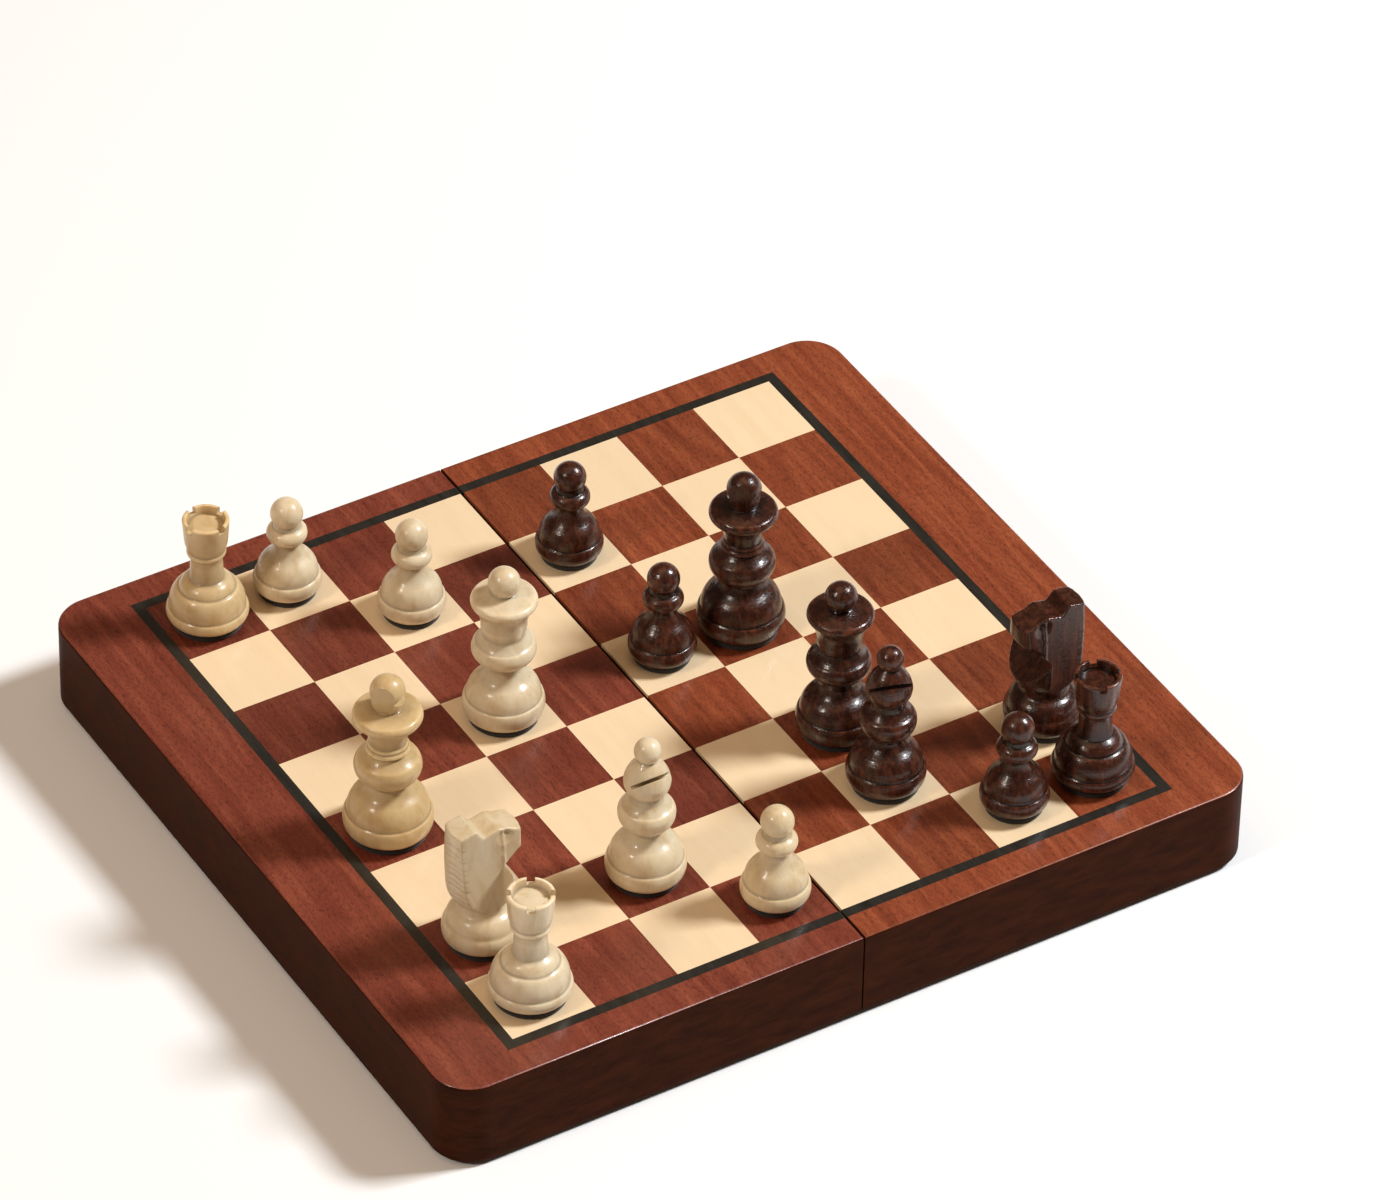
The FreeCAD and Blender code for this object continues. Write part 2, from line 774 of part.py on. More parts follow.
def hardware(half, side, screw_solids):
    leaves = [hinge_leaf(half, side, end, screw_solids) for end in (-1, 1)]
    node(group(f"{half}_hinge_leaves", *leaves))
    node(group(f"{half}_hinge_screws", *screw_solids))
    magnets = [
        cylinder(
            f"{half}_catch_{label}", "catch_radius", "catch_thickness",
            out(side, "half_reach - outer_rail / 2"), f"{end} * catch_offset", "rim_level",
        )
        for end, label in ((-1, "low"), (1, "high"))
    ]
    node(group(f"{half}_rim_magnets", *magnets))


def box_half(half, side):
    corners = corner_tools(half, side)
    screw_solids = screws(half, side)
    rails(half, side, corners, screw_solids)
    surface(half, side, corners)
    tray(half, side)
    hardware(half, side, screw_solids)


def hinge_pins():
    pins = [
        knuckle(
            f"hinge_pin_{label}", f"{end} * hinge_offset - hinge_length / 2", "hinge_length",
            "pin_radius",
        )
        for end, label in ((-1, "low"), (1, "high"))
    ]
    node(group("hinge_pins", *pins))


# ---- Build, check and write ------------------------------------------------------------


def check():
    failed = [o.Label for o in doc.Objects if {"Invalid", "Error"} & set(o.State)]
    for part in NODES:
        if part.Shape.isNull() or not part.Shape.isValid() or not part.Shape.Solids:
            failed.append(part.Label)
    if failed:
        raise RuntimeError(f"these did not build: {failed}")


def write():
    os.makedirs("parts", exist_ok=True)
    for part in NODES:
        part.Shape.exportStep(f"parts/{part.Label}.step")
    print(len(NODES), "sub-parts,", sum(len(part.Shape.Solids) for part in NODES), "solids")


box_half("left", -1)
box_half("right", 1)
hinge_pins()
men()
doc.recompute()
check()
write()
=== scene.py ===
import math

import bmesh
import bpy
import numpy as np
from mathutils import Matrix, Vector


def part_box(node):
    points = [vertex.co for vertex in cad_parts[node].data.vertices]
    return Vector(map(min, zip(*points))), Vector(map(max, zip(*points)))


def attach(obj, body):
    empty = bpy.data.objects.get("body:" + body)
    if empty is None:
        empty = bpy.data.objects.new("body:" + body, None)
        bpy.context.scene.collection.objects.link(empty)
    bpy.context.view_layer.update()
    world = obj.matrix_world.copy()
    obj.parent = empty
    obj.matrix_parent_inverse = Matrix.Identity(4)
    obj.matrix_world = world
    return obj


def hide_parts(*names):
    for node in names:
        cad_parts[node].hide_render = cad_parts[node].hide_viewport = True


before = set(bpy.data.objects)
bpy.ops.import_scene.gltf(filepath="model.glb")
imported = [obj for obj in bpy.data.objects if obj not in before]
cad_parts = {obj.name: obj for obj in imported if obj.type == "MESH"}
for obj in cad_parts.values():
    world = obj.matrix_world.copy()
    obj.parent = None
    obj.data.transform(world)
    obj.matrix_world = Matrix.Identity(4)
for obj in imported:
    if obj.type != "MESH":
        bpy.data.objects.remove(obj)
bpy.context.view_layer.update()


# ---- Camera ----------------------------------------------------------------------------
# A long lens high over white's left hand, so that the board runs away to the right and the
# sides of the box that face the camera keep nearly parallel edges.
camera = bpy.data.objects.new("camera", bpy.data.cameras.new("camera"))
bpy.context.scene.collection.objects.link(camera)
bpy.context.scene.camera = camera
bpy.context.scene.view_settings.view_transform = "Standard"
camera.data.sensor_width = 36
camera.data.lens = 238.0
camera.data.clip_end = 20
camera.location = (-0.7894, -1.2870, 1.3212)
camera.rotation_euler = [math.radians(angle) for angle in (49.89, -1.02, -31.04)]


# ---- Rails of the two box halves -------------------------------------------------------
# Four rails of solid hardwood make the walls of each half: one outside, one along the seam
# and one at each end. They are glued at butt joints, rounded at the two outer corners,
# stained dark brown and lacquered to a satin shine. The rims are eased by hand.
MM = 0.001
HALVES = (("left", -1), ("right", 1))


def step(tree, kind, sockets=None, **settings):
    """One node of a material or of a geometry tree, with its sockets filled or linked."""
    made = tree.nodes.new(kind)
    for name, value in settings.items():
        setattr(made, name, value)
    for label, value in (sockets or {}).items():
        if isinstance(value, bpy.types.NodeSocket):
            tree.links.new(value, made.inputs[label])
        else:
            made.inputs[label].default_value = value
    return made


def colour_ramp(tree, factor, stops):
    made = step(tree, "ShaderNodeValToRGB", {"Fac": factor})
    while len(made.color_ramp.elements) < len(stops):
        made.color_ramp.elements.new(0.5)
    for element, (place, colour) in zip(made.color_ramp.elements, stops):
        element.position, element.color = place, (*colour, 1)
    return made.outputs["Color"]


def stretched_noise(tree, place, cell, detail=3.0, rough=0.55, twist=0.0):
    """Noise whose cells measure cell millimetres along x, y and z."""
    spread = step(tree, "ShaderNodeVectorMath", {0: place, 1: [1 / (c * MM) for c in cell]},
                  operation="MULTIPLY").outputs[0]
    return step(tree, "ShaderNodeTexNoise",
                {"Vector": spread, "Scale": 1.0, "Detail": detail, "Roughness": rough,
                 "Distortion": twist}).outputs["Fac"]


def wood(name, stops, figure, pores, *, stock=None, pore_shade=0.6, pore_share=0.42,
         tone_change=0.12, rough=(0.3, 0.42), coat=0.5, coat_rough=0.18, relief=0.02,
         peel=0.0, skin=(1.1, 1.1, 0.7), groove_shade_edge_wear=None, gloss=0.5, aged=(1, 1, 1)):
    """Lacquered timber. stops are its colours from early to late wood, figure and pores the
    sizes in millimetres of its bands and of its open pores, and aged the tint of the
    pieces with the highest tone."""
    made = bpy.data.materials.new(name)
    made.use_nodes = True
    tree = made.node_tree
    shader = tree.nodes["Principled BSDF"]
    if stock:
        place = step(tree, "ShaderNodeAttribute", attribute_name=stock).outputs["Vector"]
    else:
        place = step(tree, "ShaderNodeTexCoord").outputs["Object"]
    tone = step(tree, "ShaderNodeAttribute", attribute_name="tone")
    place = step(tree, "ShaderNodeVectorMath",
                 {0: tone.outputs["Vector"], 1: (0.37, 0.53, 0.71), 2: place},
                 operation="MULTIPLY_ADD").outputs[0]
    bands = stretched_noise(tree, place, figure, 4.0, 0.6, 0.5)
    timber = colour_ramp(tree, bands, stops)
    holes = stretched_noise(tree, place, pores, 2.0, 0.7)
    open_pores = step(tree, "ShaderNodeMapRange",
                      {0: holes, 1: pore_share, 2: pore_share - 0.1, 3: 0.0, 4: 1.0}).outputs[0]
    shade = step(tree, "ShaderNodeMapRange",
                 {0: open_pores, 1: 0.0, 2: 1.0, 3: 1.0, 4: pore_shade}).outputs[0]
    piece = step(tree, "ShaderNodeMapRange",
                 {0: tone.outputs["Fac"], 1: 0.0, 2: 1.0, 3: 1.0 + tone_change,
                  4: 1.0 - tone_change}).outputs[0]
    light = step(tree, "ShaderNodeMath", {0: shade, 1: piece}, operation="MULTIPLY").outputs[0]
    # Painted shade: the colour is darkened where the edge attribute marks a groove, for the shade
    # that falls in the turned hollows and the knight's hatched mane; on beads and rims it is
    # lightened, for stain and lacquer worn thin there.
    if groove_shade_edge_wear:
        edge = step(tree, "ShaderNodeAttribute", attribute_name="edge").outputs["Fac"]
        groove_shade_and_wear = step(tree, "ShaderNodeMapRange",
                    {0: edge, 1: -1.0, 2: 1.0, 3: groove_shade_edge_wear[0], 4: groove_shade_edge_wear[1]}).outputs[0]
        light = step(tree, "ShaderNodeMath", {0: light, 1: groove_shade_and_wear}, operation="MULTIPLY").outputs[0]
    yellowed = step(tree, "ShaderNodeVectorMath", {0: timber, 1: colour_ramp(
        tree, tone.outputs["Fac"], ((0.3, (1, 1, 1)), (1.0, aged)))}, operation="MULTIPLY")
    tinted = step(tree, "ShaderNodeVectorMath",
                  {0: yellowed.outputs[0], "Scale": light}, operation="SCALE")
    tree.links.new(tinted.outputs[0], shader.inputs["Base Color"])
    polish = step(tree, "ShaderNodeMapRange",
                  {0: bands, 1: 0.3, 2: 0.7, 3: rough[0], 4: rough[1]}).outputs[0]
    tree.links.new(polish, shader.inputs["Roughness"])
    shader.inputs["Specular IOR Level"].default_value = gloss
    shader.inputs["Coat Weight"].default_value = coat
    shader.inputs["Coat Roughness"].default_value = coat_rough
    ripple = stretched_noise(tree, place, skin, 2.0, 0.5)
    height = step(tree, "ShaderNodeMath", {0: ripple, 1: peel, 2: step(
        tree, "ShaderNodeMath", {0: open_pores, 1: -relief}, operation="MULTIPLY").outputs[0]},
        operation="MULTIPLY_ADD").outputs[0]
    bump = step(tree, "ShaderNodeBump", {"Height": height, "Strength": 1.0, "Distance": MM})
    tree.links.new(bump.outputs[0], shader.inputs["Normal"])
    tree.links.new(bump.outputs[0], shader.inputs["Coat Normal"])
    return made


def shown(name, mesh, *materials):
    made = bpy.data.objects.new(name, mesh)
    bpy.context.scene.collection.objects.link(made)
    for material in materials:
        mesh.materials.append(material)
    return made


def smooth(mesh, sharp_angle=40):
    mesh.shade_smooth()
    mesh.set_sharp_from_angle(angle=math.radians(sharp_angle))


def eased_slab(name, low, high, corners=(0, 0, 0, 0), ease=0.5 * MM, sides=(1, 1, 1, 1),
               foot=True, head=True, *materials):
    """A flat board. corners are its plan radii, and sides says how much each of the low x,
    high x, low y and high y sides is eased at the foot and at the head."""
    support = 0.25 * MM

    def ring(inset, z):
        x = (low.x + inset * sides[0], high.x - inset * sides[1])
        y = (low.y + inset * sides[2], high.y - inset * sides[3])
        for k, (i, j) in enumerate(((0, 0), (1, 0), (1, 1), (0, 1))):
            round_off = corners[k] - inset
            if round_off <= 0:
                yield (x[i], y[j], z)
                continue
            centre = (x[i] + (1 - 2 * i) * round_off, y[j] + (1 - 2 * j) * round_off)
            start = math.radians(180 + 90 * k)
            turns = [start + math.pi / 2 * s / 14 for s in range(15)]
            spots = [(centre[0] + round_off * math.cos(t), centre[1] + round_off * math.sin(t))
                     for t in turns]
            before = (-math.sin(start), math.cos(start))
            after = (-math.sin(turns[-1]), math.cos(turns[-1]))
            yield (spots[0][0] - support * before[0], spots[0][1] - support * before[1], z)
            yield from ((u, v, z) for u, v in spots)
            yield (spots[-1][0] + support * after[0], spots[-1][1] + support * after[1], z)

    arc = [math.radians(22.5 * s) for s in range(5)]
    levels = []
    if foot:
        levels.append((ease + support, low.z))
        levels += [(ease * (1 - math.cos(t)), low.z + ease * (1 - math.sin(t)))
                   for t in reversed(arc)]
        levels.append((0, low.z + ease + support))
    else:
        levels.append((0, low.z))
    if head:
        if high.z - ease - support > levels[-1][1]:
            levels.append((0, high.z - ease - support))
        levels += [(ease * (1 - math.cos(t)), high.z - ease * (1 - math.sin(t))) for t in arc]
        levels.append((ease + support, high.z))
    else:
        levels.append((0, high.z))
    shape = bmesh.new()
    rings = [[shape.verts.new(v) for v in ring(*level)] for level in levels]
    for lower, upper in zip(rings, rings[1:]):
        for a, b, c, d in zip(lower, lower[1:] + lower[:1], upper[1:] + upper[:1], upper):
            shape.faces.new((a, b, c, d))
    shape.faces.new(reversed(rings[0]))
    shape.faces.new(rings[-1])
    mesh = bpy.data.meshes.new(name)
    shape.to_mesh(mesh)
    shape.free()
    smooth(mesh)
    return shown(name, mesh, *materials)


def prism(name, outline, along):
    """A closed outline drawn through along a vector, for cutting with."""
    shape = bmesh.new()
    near = [shape.verts.new(p) for p in outline]
    far = [shape.verts.new(Vector(p) + Vector(along)) for p in outline]
    shape.faces.new(near)
    shape.faces.new(reversed(far))
    for a, b, c, d in zip(near, near[1:] + near[:1], far[1:] + far[:1], far):
        shape.faces.new((a, d, c, b))
    bmesh.ops.recalc_face_normals(shape, faces=shape.faces)
    mesh = bpy.data.meshes.new(name)
    shape.to_mesh(mesh)
    shape.free()
    return shown(name, mesh)


def block(name, low, high):
    (a, b, c), (d, e, f) = low, high
    return prism(name, ((a, b, c), (d, b, c), (d, e, c), (a, e, c)), (0, 0, f - c))


def rod(name, start, end, radius, turns=48):
    start, end = Vector(start), Vector(end)
    turn = (end - start).to_track_quat("Z", "Y")
    ring = [start + turn @ Vector((radius * math.cos(math.tau * s / turns),
                                   radius * math.sin(math.tau * s / turns), 0))
            for s in range(turns)]
    return prism(name, ring, end - start)


def settled(piece, keep_sharp=40):
    """Applies what the piece's modifiers do to its mesh."""
    bpy.context.view_layer.update()
    graph = bpy.context.evaluated_depsgraph_get()
    mesh = bpy.data.meshes.new_from_object(piece.evaluated_get(graph))
    piece.modifiers.clear()
    piece.data = mesh
    smooth(mesh, keep_sharp)
    return piece


def worked(piece, operation, *tools):
    """Cuts the tools out of the piece, or keeps only what lies inside them."""
    for tool in tools:
        change = piece.modifiers.new(tool.name, "BOOLEAN")
        change.operation, change.solver, change.object = operation, "EXACT", tool
    settled(piece)
    for tool in tools:
        bpy.data.objects.remove(tool)
    return piece


stained_rail = wood(
    "stained_rail", ((0.3, (0.024, 0.0066, 0.0026)), (0.7, (0.050, 0.0130, 0.0050))),
    (9, 9, 2.6), (2.2, 2.2, 0.25), pore_shade=0.7, rough=(0.40, 0.50), coat=0.0,
    relief=0.012, gloss=0.02,
)
CORNER, RIM_EASE = 9 * MM, 0.6 * MM
MAGNET_Y, MAGNET_BORE, MAGNET_DEPTH = 60 * MM, 2.5 * MM, 3 * MM
HINGE_Y, HINGE_SPAN, LEAF = 55 * MM, 8 * MM, 0.5 * MM
BARREL_BORE, BARREL_PLAY = 1.25 * MM, 0.15 * MM
for half, side in HALVES:
    outer_low, outer_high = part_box(f"{half}_outer_rail")
    seam_low, seam_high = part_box(f"{half}_seam_rail")
    lining_low, lining_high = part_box(f"{half}_storage_tray")
    hinges_low, hinges_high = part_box(f"{half}_hinge_leaves")
    low = Vector((min(outer_low.x, seam_low.x), seam_low.y, outer_low.z))
    high = Vector((max(outer_high.x, seam_high.x), seam_high.y, outer_high.z))
    rounded = (CORNER, 0, 0, CORNER) if side < 0 else (0, CORNER, CORNER, 0)
    eased_sides = (1, 0.6, 1, 1) if side < 0 else (0.6, 1, 1, 1)

    def walls(name):
        return eased_slab(name, low, high, rounded, RIM_EASE, eased_sides, True, False,
                          stained_rail)

    reach = 1 * MM
    near = seam_high.x if side < 0 else seam_low.x
    inner_near = seam_low.x if side < 0 else seam_high.x
    inner_far = outer_high.x if side < 0 else outer_low.x
    outside = inner_far + side * 20 * MM
    outer = worked(walls(f"{half}_outer_wall"), "INTERSECT", block(
        "keep", (min(inner_far, outside), low.y - reach, low.z - reach),
        (max(inner_far, outside), high.y + reach, high.z + reach)))
    centre = (outer_low.x + outer_high.x) / 2
    for y in (-MAGNET_Y, MAGNET_Y):
        worked(outer, "DIFFERENCE", rod("hole", (centre, y, low.z - reach),
                                        (centre, y, low.z + MAGNET_DEPTH), MAGNET_BORE))
    seam = worked(walls(f"{half}_seam_wall"), "INTERSECT", block(
        "keep", (min(near + side * -reach, inner_near), low.y - reach, low.z - reach),
        (max(near + side * -reach, inner_near), high.y + reach, high.z + reach)))
    leaf_edge = hinges_low.x if side < 0 else hinges_high.x
    for y in (-HINGE_Y, HINGE_Y):
        mortise = block("mortise", (min(0, leaf_edge), y - HINGE_SPAN, low.z - reach),
                        (max(0, leaf_edge), y + HINGE_SPAN, low.z + LEAF))
        hollow = rod("hollow", (0, y - HINGE_SPAN - BARREL_PLAY, low.z),
                     (0, y + HINGE_SPAN + BARREL_PLAY, low.z), BARREL_BORE)
        worked(seam, "DIFFERENCE", mortise, hollow)
    ends = []
    for end, y in (("low", (low.y - reach, lining_low.y)),
                   ("high", (lining_high.y, high.y + reach))):
        ends.append(worked(walls(f"{half}_end_wall_{end}"), "INTERSECT", block(
            "keep", (min(inner_near, inner_far), y[0], low.z - reach),
            (max(inner_near, inner_far), y[1], high.z + reach))))
    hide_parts(f"{half}_outer_rail")
    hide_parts(f"{half}_seam_rail")
    for piece in ends:
        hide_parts(f"{half}_end_rails")
    for piece in (outer, seam, *ends):
        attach(piece, f"{half}_half")


# ---- Border and black line -------------------------------------------------------------
# Mahogany veneer is laid over the rims of both halves with its grain along the seam, then
# eased round the outside edge, where the dark stain of the rails takes over. A line of
# black dyed veneer is let in between it and the squares.
# The right half's mahogany is painted lighter and more orange than the left half's, for the light
# that falls more strongly on that half: painted light. The border and the dark squares of each
# half share these colours.
MAHOGANY_PAINTED_LIGHT_BY_HALF = {
    "left": ((0.25, (0.125, 0.0230, 0.0125)), (0.5, (0.180, 0.0370, 0.0195)),
             (0.75, (0.250, 0.0600, 0.0290))),
    "right": ((0.25, (0.150, 0.0290, 0.0115)), (0.5, (0.230, 0.0500, 0.0185)),
              (0.75, (0.325, 0.0820, 0.0290))),
}
border_veneers = {half: wood(
    f"border_veneer_{half}", MAHOGANY_PAINTED_LIGHT_BY_HALF[half], (2.4, 30, 6), (0.26, 1.3, 0.5), pore_shade=0.55,
    pore_share=0.48, rough=(0.28, 0.40), coat=0.35, coat_rough=0.16, relief=0.008,
) for half, _ in HALVES}
black_veneer = wood(
    "black_veneer", ((0.3, (0.010, 0.009, 0.007)), (0.7, (0.020, 0.018, 0.014))),
    (2, 14, 2), (0.3, 2.0, 0.5), rough=(0.3, 0.4), coat=0.5, coat_rough=0.18, relief=0.006,
)
EASE = 0.7 * MM
for half, side in HALVES:
    low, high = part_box(f"{half}_border_strips")
    line_low, line_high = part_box(f"{half}_inlay_line")
    rounded = (CORNER, 0, 0, CORNER) if side < 0 else (0, CORNER, CORNER, 0)
    eased_sides = (1, 0.3, 1, 1) if side < 0 else (0.3, 1, 1, 1)
    border = eased_slab(f"{half}_border", low, high, rounded, EASE, eased_sides, False, True,
                        border_veneers[half], stained_rail)
    past = 5 * MM
    inside = block("inside",
                   (line_low.x - (past if side > 0 else 0), line_low.y, low.z - past),
                   (line_high.x + (past if side < 0 else 0), line_high.y, high.z + past))
    worked(border, "DIFFERENCE", inside)
    for face in border.data.polygons:
        face.material_index = 0 if face.normal.z > 0.75 or face.normal.z < -0.5 else 1
    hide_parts(f"{half}_border_strips")
    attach(border, f"{half}_half")
    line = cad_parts[f"{half}_inlay_line"]
    line.data.materials.clear()
    line.data.materials.append(black_veneer)


# ---- Playing squares -------------------------------------------------------------------
# Thirty-two squares of pale maple veneer and thirty-two of mahogany are cut from several
# leaves, so neighbours differ a little, and are pressed flush with the border. The row
# along the seam loses the width of the saw cut.
def tree_with(name, *inputs):
    made = bpy.data.node_groups.new(name, "GeometryNodeTree")
    made.is_modifier = True
    for label, kind in inputs:
        made.interface.new_socket(name=label, in_out="INPUT", socket_type=f"NodeSocket{kind}")
    made.interface.new_socket(name="Geometry", in_out="OUTPUT",
                              socket_type="NodeSocketGeometry")
    return made


def close_tree(tree, geometry, material):
    """Every tree ends the same way: its instances are made real and take their material."""
    real = step(tree, "GeometryNodeRealizeInstances", {0: geometry}).outputs[0]
    finished = step(tree, "GeometryNodeSetMaterial", {"Geometry": real, "Material": material})
    output = tree.nodes.new("NodeGroupOutput")
    tree.links.new(finished.outputs[0], output.inputs[0])


def grown(name, tree, **values):
    """The plain mesh that a tree gives for these values."""
    host = shown(name, bpy.data.meshes.new(name))
    growth = host.modifiers.new("growth", "NODES")
    growth.node_group = tree
    for socket in tree.interface.items_tree:
        if socket.in_out == "INPUT":
            growth[socket.identifier] = values[socket.name.replace(" ", "_")]
    settled(host)
    host.data.materials.clear()
    host.data.materials.append(values["material"])
    for face in host.data.polygons:
        face.material_index = 0
    return host


def math_step(tree, operation, a, b=0.0):
    return step(tree, "ShaderNodeMath", {0: a, 1: b}, operation=operation).outputs[0]


squares_tree = tree_with(
    "veneer_squares", ("size", "Float"), ("thickness", "Float"), ("seam", "Float"),
    ("middle", "Vector"), ("parity", "Float"), ("seed", "Int"), ("material", "Material"),
)
given = squares_tree.nodes.new("NodeGroupInput").outputs
grid = step(squares_tree, "GeometryNodeMeshGrid", {
    "Size X": math_step(squares_tree, "MULTIPLY", given["size"], 3.0),
    "Size Y": math_step(squares_tree, "MULTIPLY", given["size"], 7.0),
    "Vertices X": 4, "Vertices Y": 8})
centres = step(squares_tree, "GeometryNodeTransform",
               {"Geometry": grid.outputs[0], "Translation": given["middle"]}).outputs[0]
spot = step(squares_tree, "ShaderNodeSeparateXYZ",
            {0: step(squares_tree, "GeometryNodeInputPosition").outputs[0]}).outputs
column = math_step(squares_tree, "FLOOR",
                   math_step(squares_tree, "DIVIDE", spot["X"], given["size"]), 0.0)
row = math_step(squares_tree, "FLOOR",
                math_step(squares_tree, "DIVIDE", spot["Y"], given["size"]), 0.0)
both = math_step(squares_tree, "ADD", math_step(squares_tree, "ADD", column, row), 16.0)
odd = math_step(squares_tree, "MODULO", math_step(squares_tree, "ADD", both, given["parity"]), 2.0)
own = step(squares_tree, "GeometryNodeDeleteGeometry",
           {"Geometry": centres, "Selection": math_step(squares_tree, "GREATER_THAN", odd, 0.5)},
           domain="POINT").outputs[0]
tile = step(squares_tree, "GeometryNodeMeshCube", {"Size": step(
    squares_tree, "ShaderNodeCombineXYZ",
    {0: given["size"], 1: given["size"], 2: given["thickness"]}).outputs[0]}).outputs[0]
tiles = step(squares_tree, "GeometryNodeInstanceOnPoints", {"Points": own, "Instance": tile})
leaf = step(squares_tree, "FunctionNodeRandomValue", {2: 0.0, 3: 1.0, 8: given["seed"]},
            data_type="FLOAT").outputs[1]
toned = step(squares_tree, "GeometryNodeStoreNamedAttribute",
             {"Geometry": tiles.outputs[0], "Name": "tone", "Value": leaf},
             data_type="FLOAT", domain="INSTANCE").outputs[0]
real = step(squares_tree, "GeometryNodeRealizeInstances", {0: toned}).outputs[0]
place = step(squares_tree, "GeometryNodeInputPosition").outputs[0]
parts = step(squares_tree, "ShaderNodeSeparateXYZ", {0: place}).outputs
centre_side = math_step(squares_tree, "SIGN", step(
    squares_tree, "ShaderNodeSeparateXYZ", {0: given["middle"]}).outputs["X"])
at_seam = math_step(squares_tree, "LESS_THAN",
                    math_step(squares_tree, "ABSOLUTE", parts["X"]), given["seam"])
kerf = step(squares_tree, "ShaderNodeCombineXYZ", {
    0: math_step(squares_tree, "MULTIPLY", centre_side, given["seam"]),
    1: parts["Y"], 2: parts["Z"]}).outputs[0]
trimmed = step(squares_tree, "GeometryNodeSetPosition",
               {"Geometry": real, "Selection": at_seam, "Position": kerf}).outputs[0]
close_tree(squares_tree, trimmed, given["material"])

maple = wood(
    "maple_veneer", ((0.3, (0.810, 0.615, 0.390)), (0.7, (0.845, 0.655, 0.425))),
    (4, 30, 4), (0.35, 3.0, 0.6), pore_shade=0.97, pore_share=0.42, tone_change=0.025,
    rough=(0.3, 0.4), coat=0.5, coat_rough=0.16, relief=0.004,
)
SEAM_SAND = 0.3 * MM
for half, side in HALVES:
    # Each half's dark squares take that half's mahogany colours, painted lighter on the right for
    # the stronger light there.
    mahogany = wood(
        f"mahogany_veneer_{half}", MAHOGANY_PAINTED_LIGHT_BY_HALF[half], (2.2, 24, 5), (0.26, 1.2, 0.5),
        pore_shade=0.55, pore_share=0.48, tone_change=0.16, rough=(0.28, 0.40), coat=0.35,
        coat_rough=0.16, relief=0.008,
    )
    for shade, parity, finish in (("light", 0.0, maple), ("dark", 1.0, mahogany)):
        node = f"{half}_{shade}_squares"
        low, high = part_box(node)
        size = (high.y - low.y) / 8
        squares = grown(
            node + "_veneer", squares_tree, size=size, thickness=high.z - low.z,
            seam=min(abs(low.x), abs(high.x)) + SEAM_SAND,
            middle=(side * 2 * size, 0.0, (low.z + high.z) / 2), parity=parity,
            seed=3 + side + int(parity) * 7, material=finish,
        )
        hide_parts(node)
        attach(squares, f"{half}_half")


# ---- Deck and steel sheet --------------------------------------------------------------
# Under the veneer of each half lies a thin steel sheet, which the magnets in the men hold
# to, and under that a deck of birch plywood let in between the rails.
birch = wood(
    "birch_ply", ((0.3, (0.46, 0.32, 0.18)), (0.7, (0.62, 0.46, 0.28))),
    (5, 40, 3), (0.3, 3, 0.3), pore_shade=0.85, rough=(0.5, 0.6), coat=0.0,
)
steel = bpy.data.materials.new("galvanised_steel")
steel.use_nodes = True
shader = steel.node_tree.nodes["Principled BSDF"]
shader.inputs["Metallic"].default_value = 1.0
spangle = stretched_noise(steel.node_tree, step(
    steel.node_tree, "ShaderNodeTexCoord").outputs["Object"], (4, 4, 4), 1.0)
steel.node_tree.links.new(colour_ramp(
    steel.node_tree, spangle, ((0.4, (0.36, 0.37, 0.38)), (0.6, (0.52, 0.53, 0.54)))),
    shader.inputs["Base Color"])
shader.inputs["Roughness"].default_value = 0.42
for half, side in HALVES:
    for node, finish in ((f"{half}_deck", birch), (f"{half}_steel_sheet", steel)):
        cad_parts[node].data.materials.clear()
        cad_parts[node].data.materials.append(finish)


# ---- Storage trays ---------------------------------------------------------------------
# The underside of each deck is lined with card flocked dark green. Strips of the same
# flocked card stand on it and part it into eight long slots for the officers and eight
# short ones for the pawns, with a trough between them for the fingers.
flock = bpy.data.materials.new("green_flock")
flock.use_nodes = True
shader = flock.node_tree.nodes["Principled BSDF"]
place = step(flock.node_tree, "ShaderNodeTexCoord").outputs["Object"]
nap = stretched_noise(flock.node_tree, place, (0.35, 0.35, 0.35), 4.0, 0.7)
brushed = stretched_noise(flock.node_tree, place, (9, 6, 9), 2.0, 0.5)
blend = math_step(flock.node_tree, "ADD",
                  math_step(flock.node_tree, "MULTIPLY", nap, 0.5),
                  math_step(flock.node_tree, "MULTIPLY", brushed, 0.5))
flock.node_tree.links.new(colour_ramp(
    flock.node_tree, blend, ((0.35, (0.006, 0.022, 0.012)), (0.65, (0.020, 0.062, 0.034)))),
    shader.inputs["Base Color"])
shader.inputs["Roughness"].default_value = 0.95
shader.inputs["Sheen Weight"].default_value = 0.5
shader.inputs["Sheen Roughness"].default_value = 0.4
flock.node_tree.links.new(step(
    flock.node_tree, "ShaderNodeBump", {"Height": nap, "Strength": 0.8, "Distance": 0.15 * MM}
).outputs[0], shader.inputs["Normal"])

strips_tree = tree_with(
    "divider_strips", ("count", "Int"), ("start", "Vector"), ("pitch", "Vector"),
    ("strip", "Vector"), ("material", "Material"),
)
given = strips_tree.nodes.new("NodeGroupInput").outputs
row_of = step(strips_tree, "GeometryNodeMeshLine", {
    "Count": given["count"], "Start Location": given["start"], "Offset": given["pitch"]})
strip = step(strips_tree, "GeometryNodeMeshCube", {"Size": given["strip"]}).outputs[0]
close_tree(strips_tree, step(strips_tree, "GeometryNodeInstanceOnPoints", {
    "Points": row_of.outputs[0], "Instance": strip}).outputs[0], given["material"])

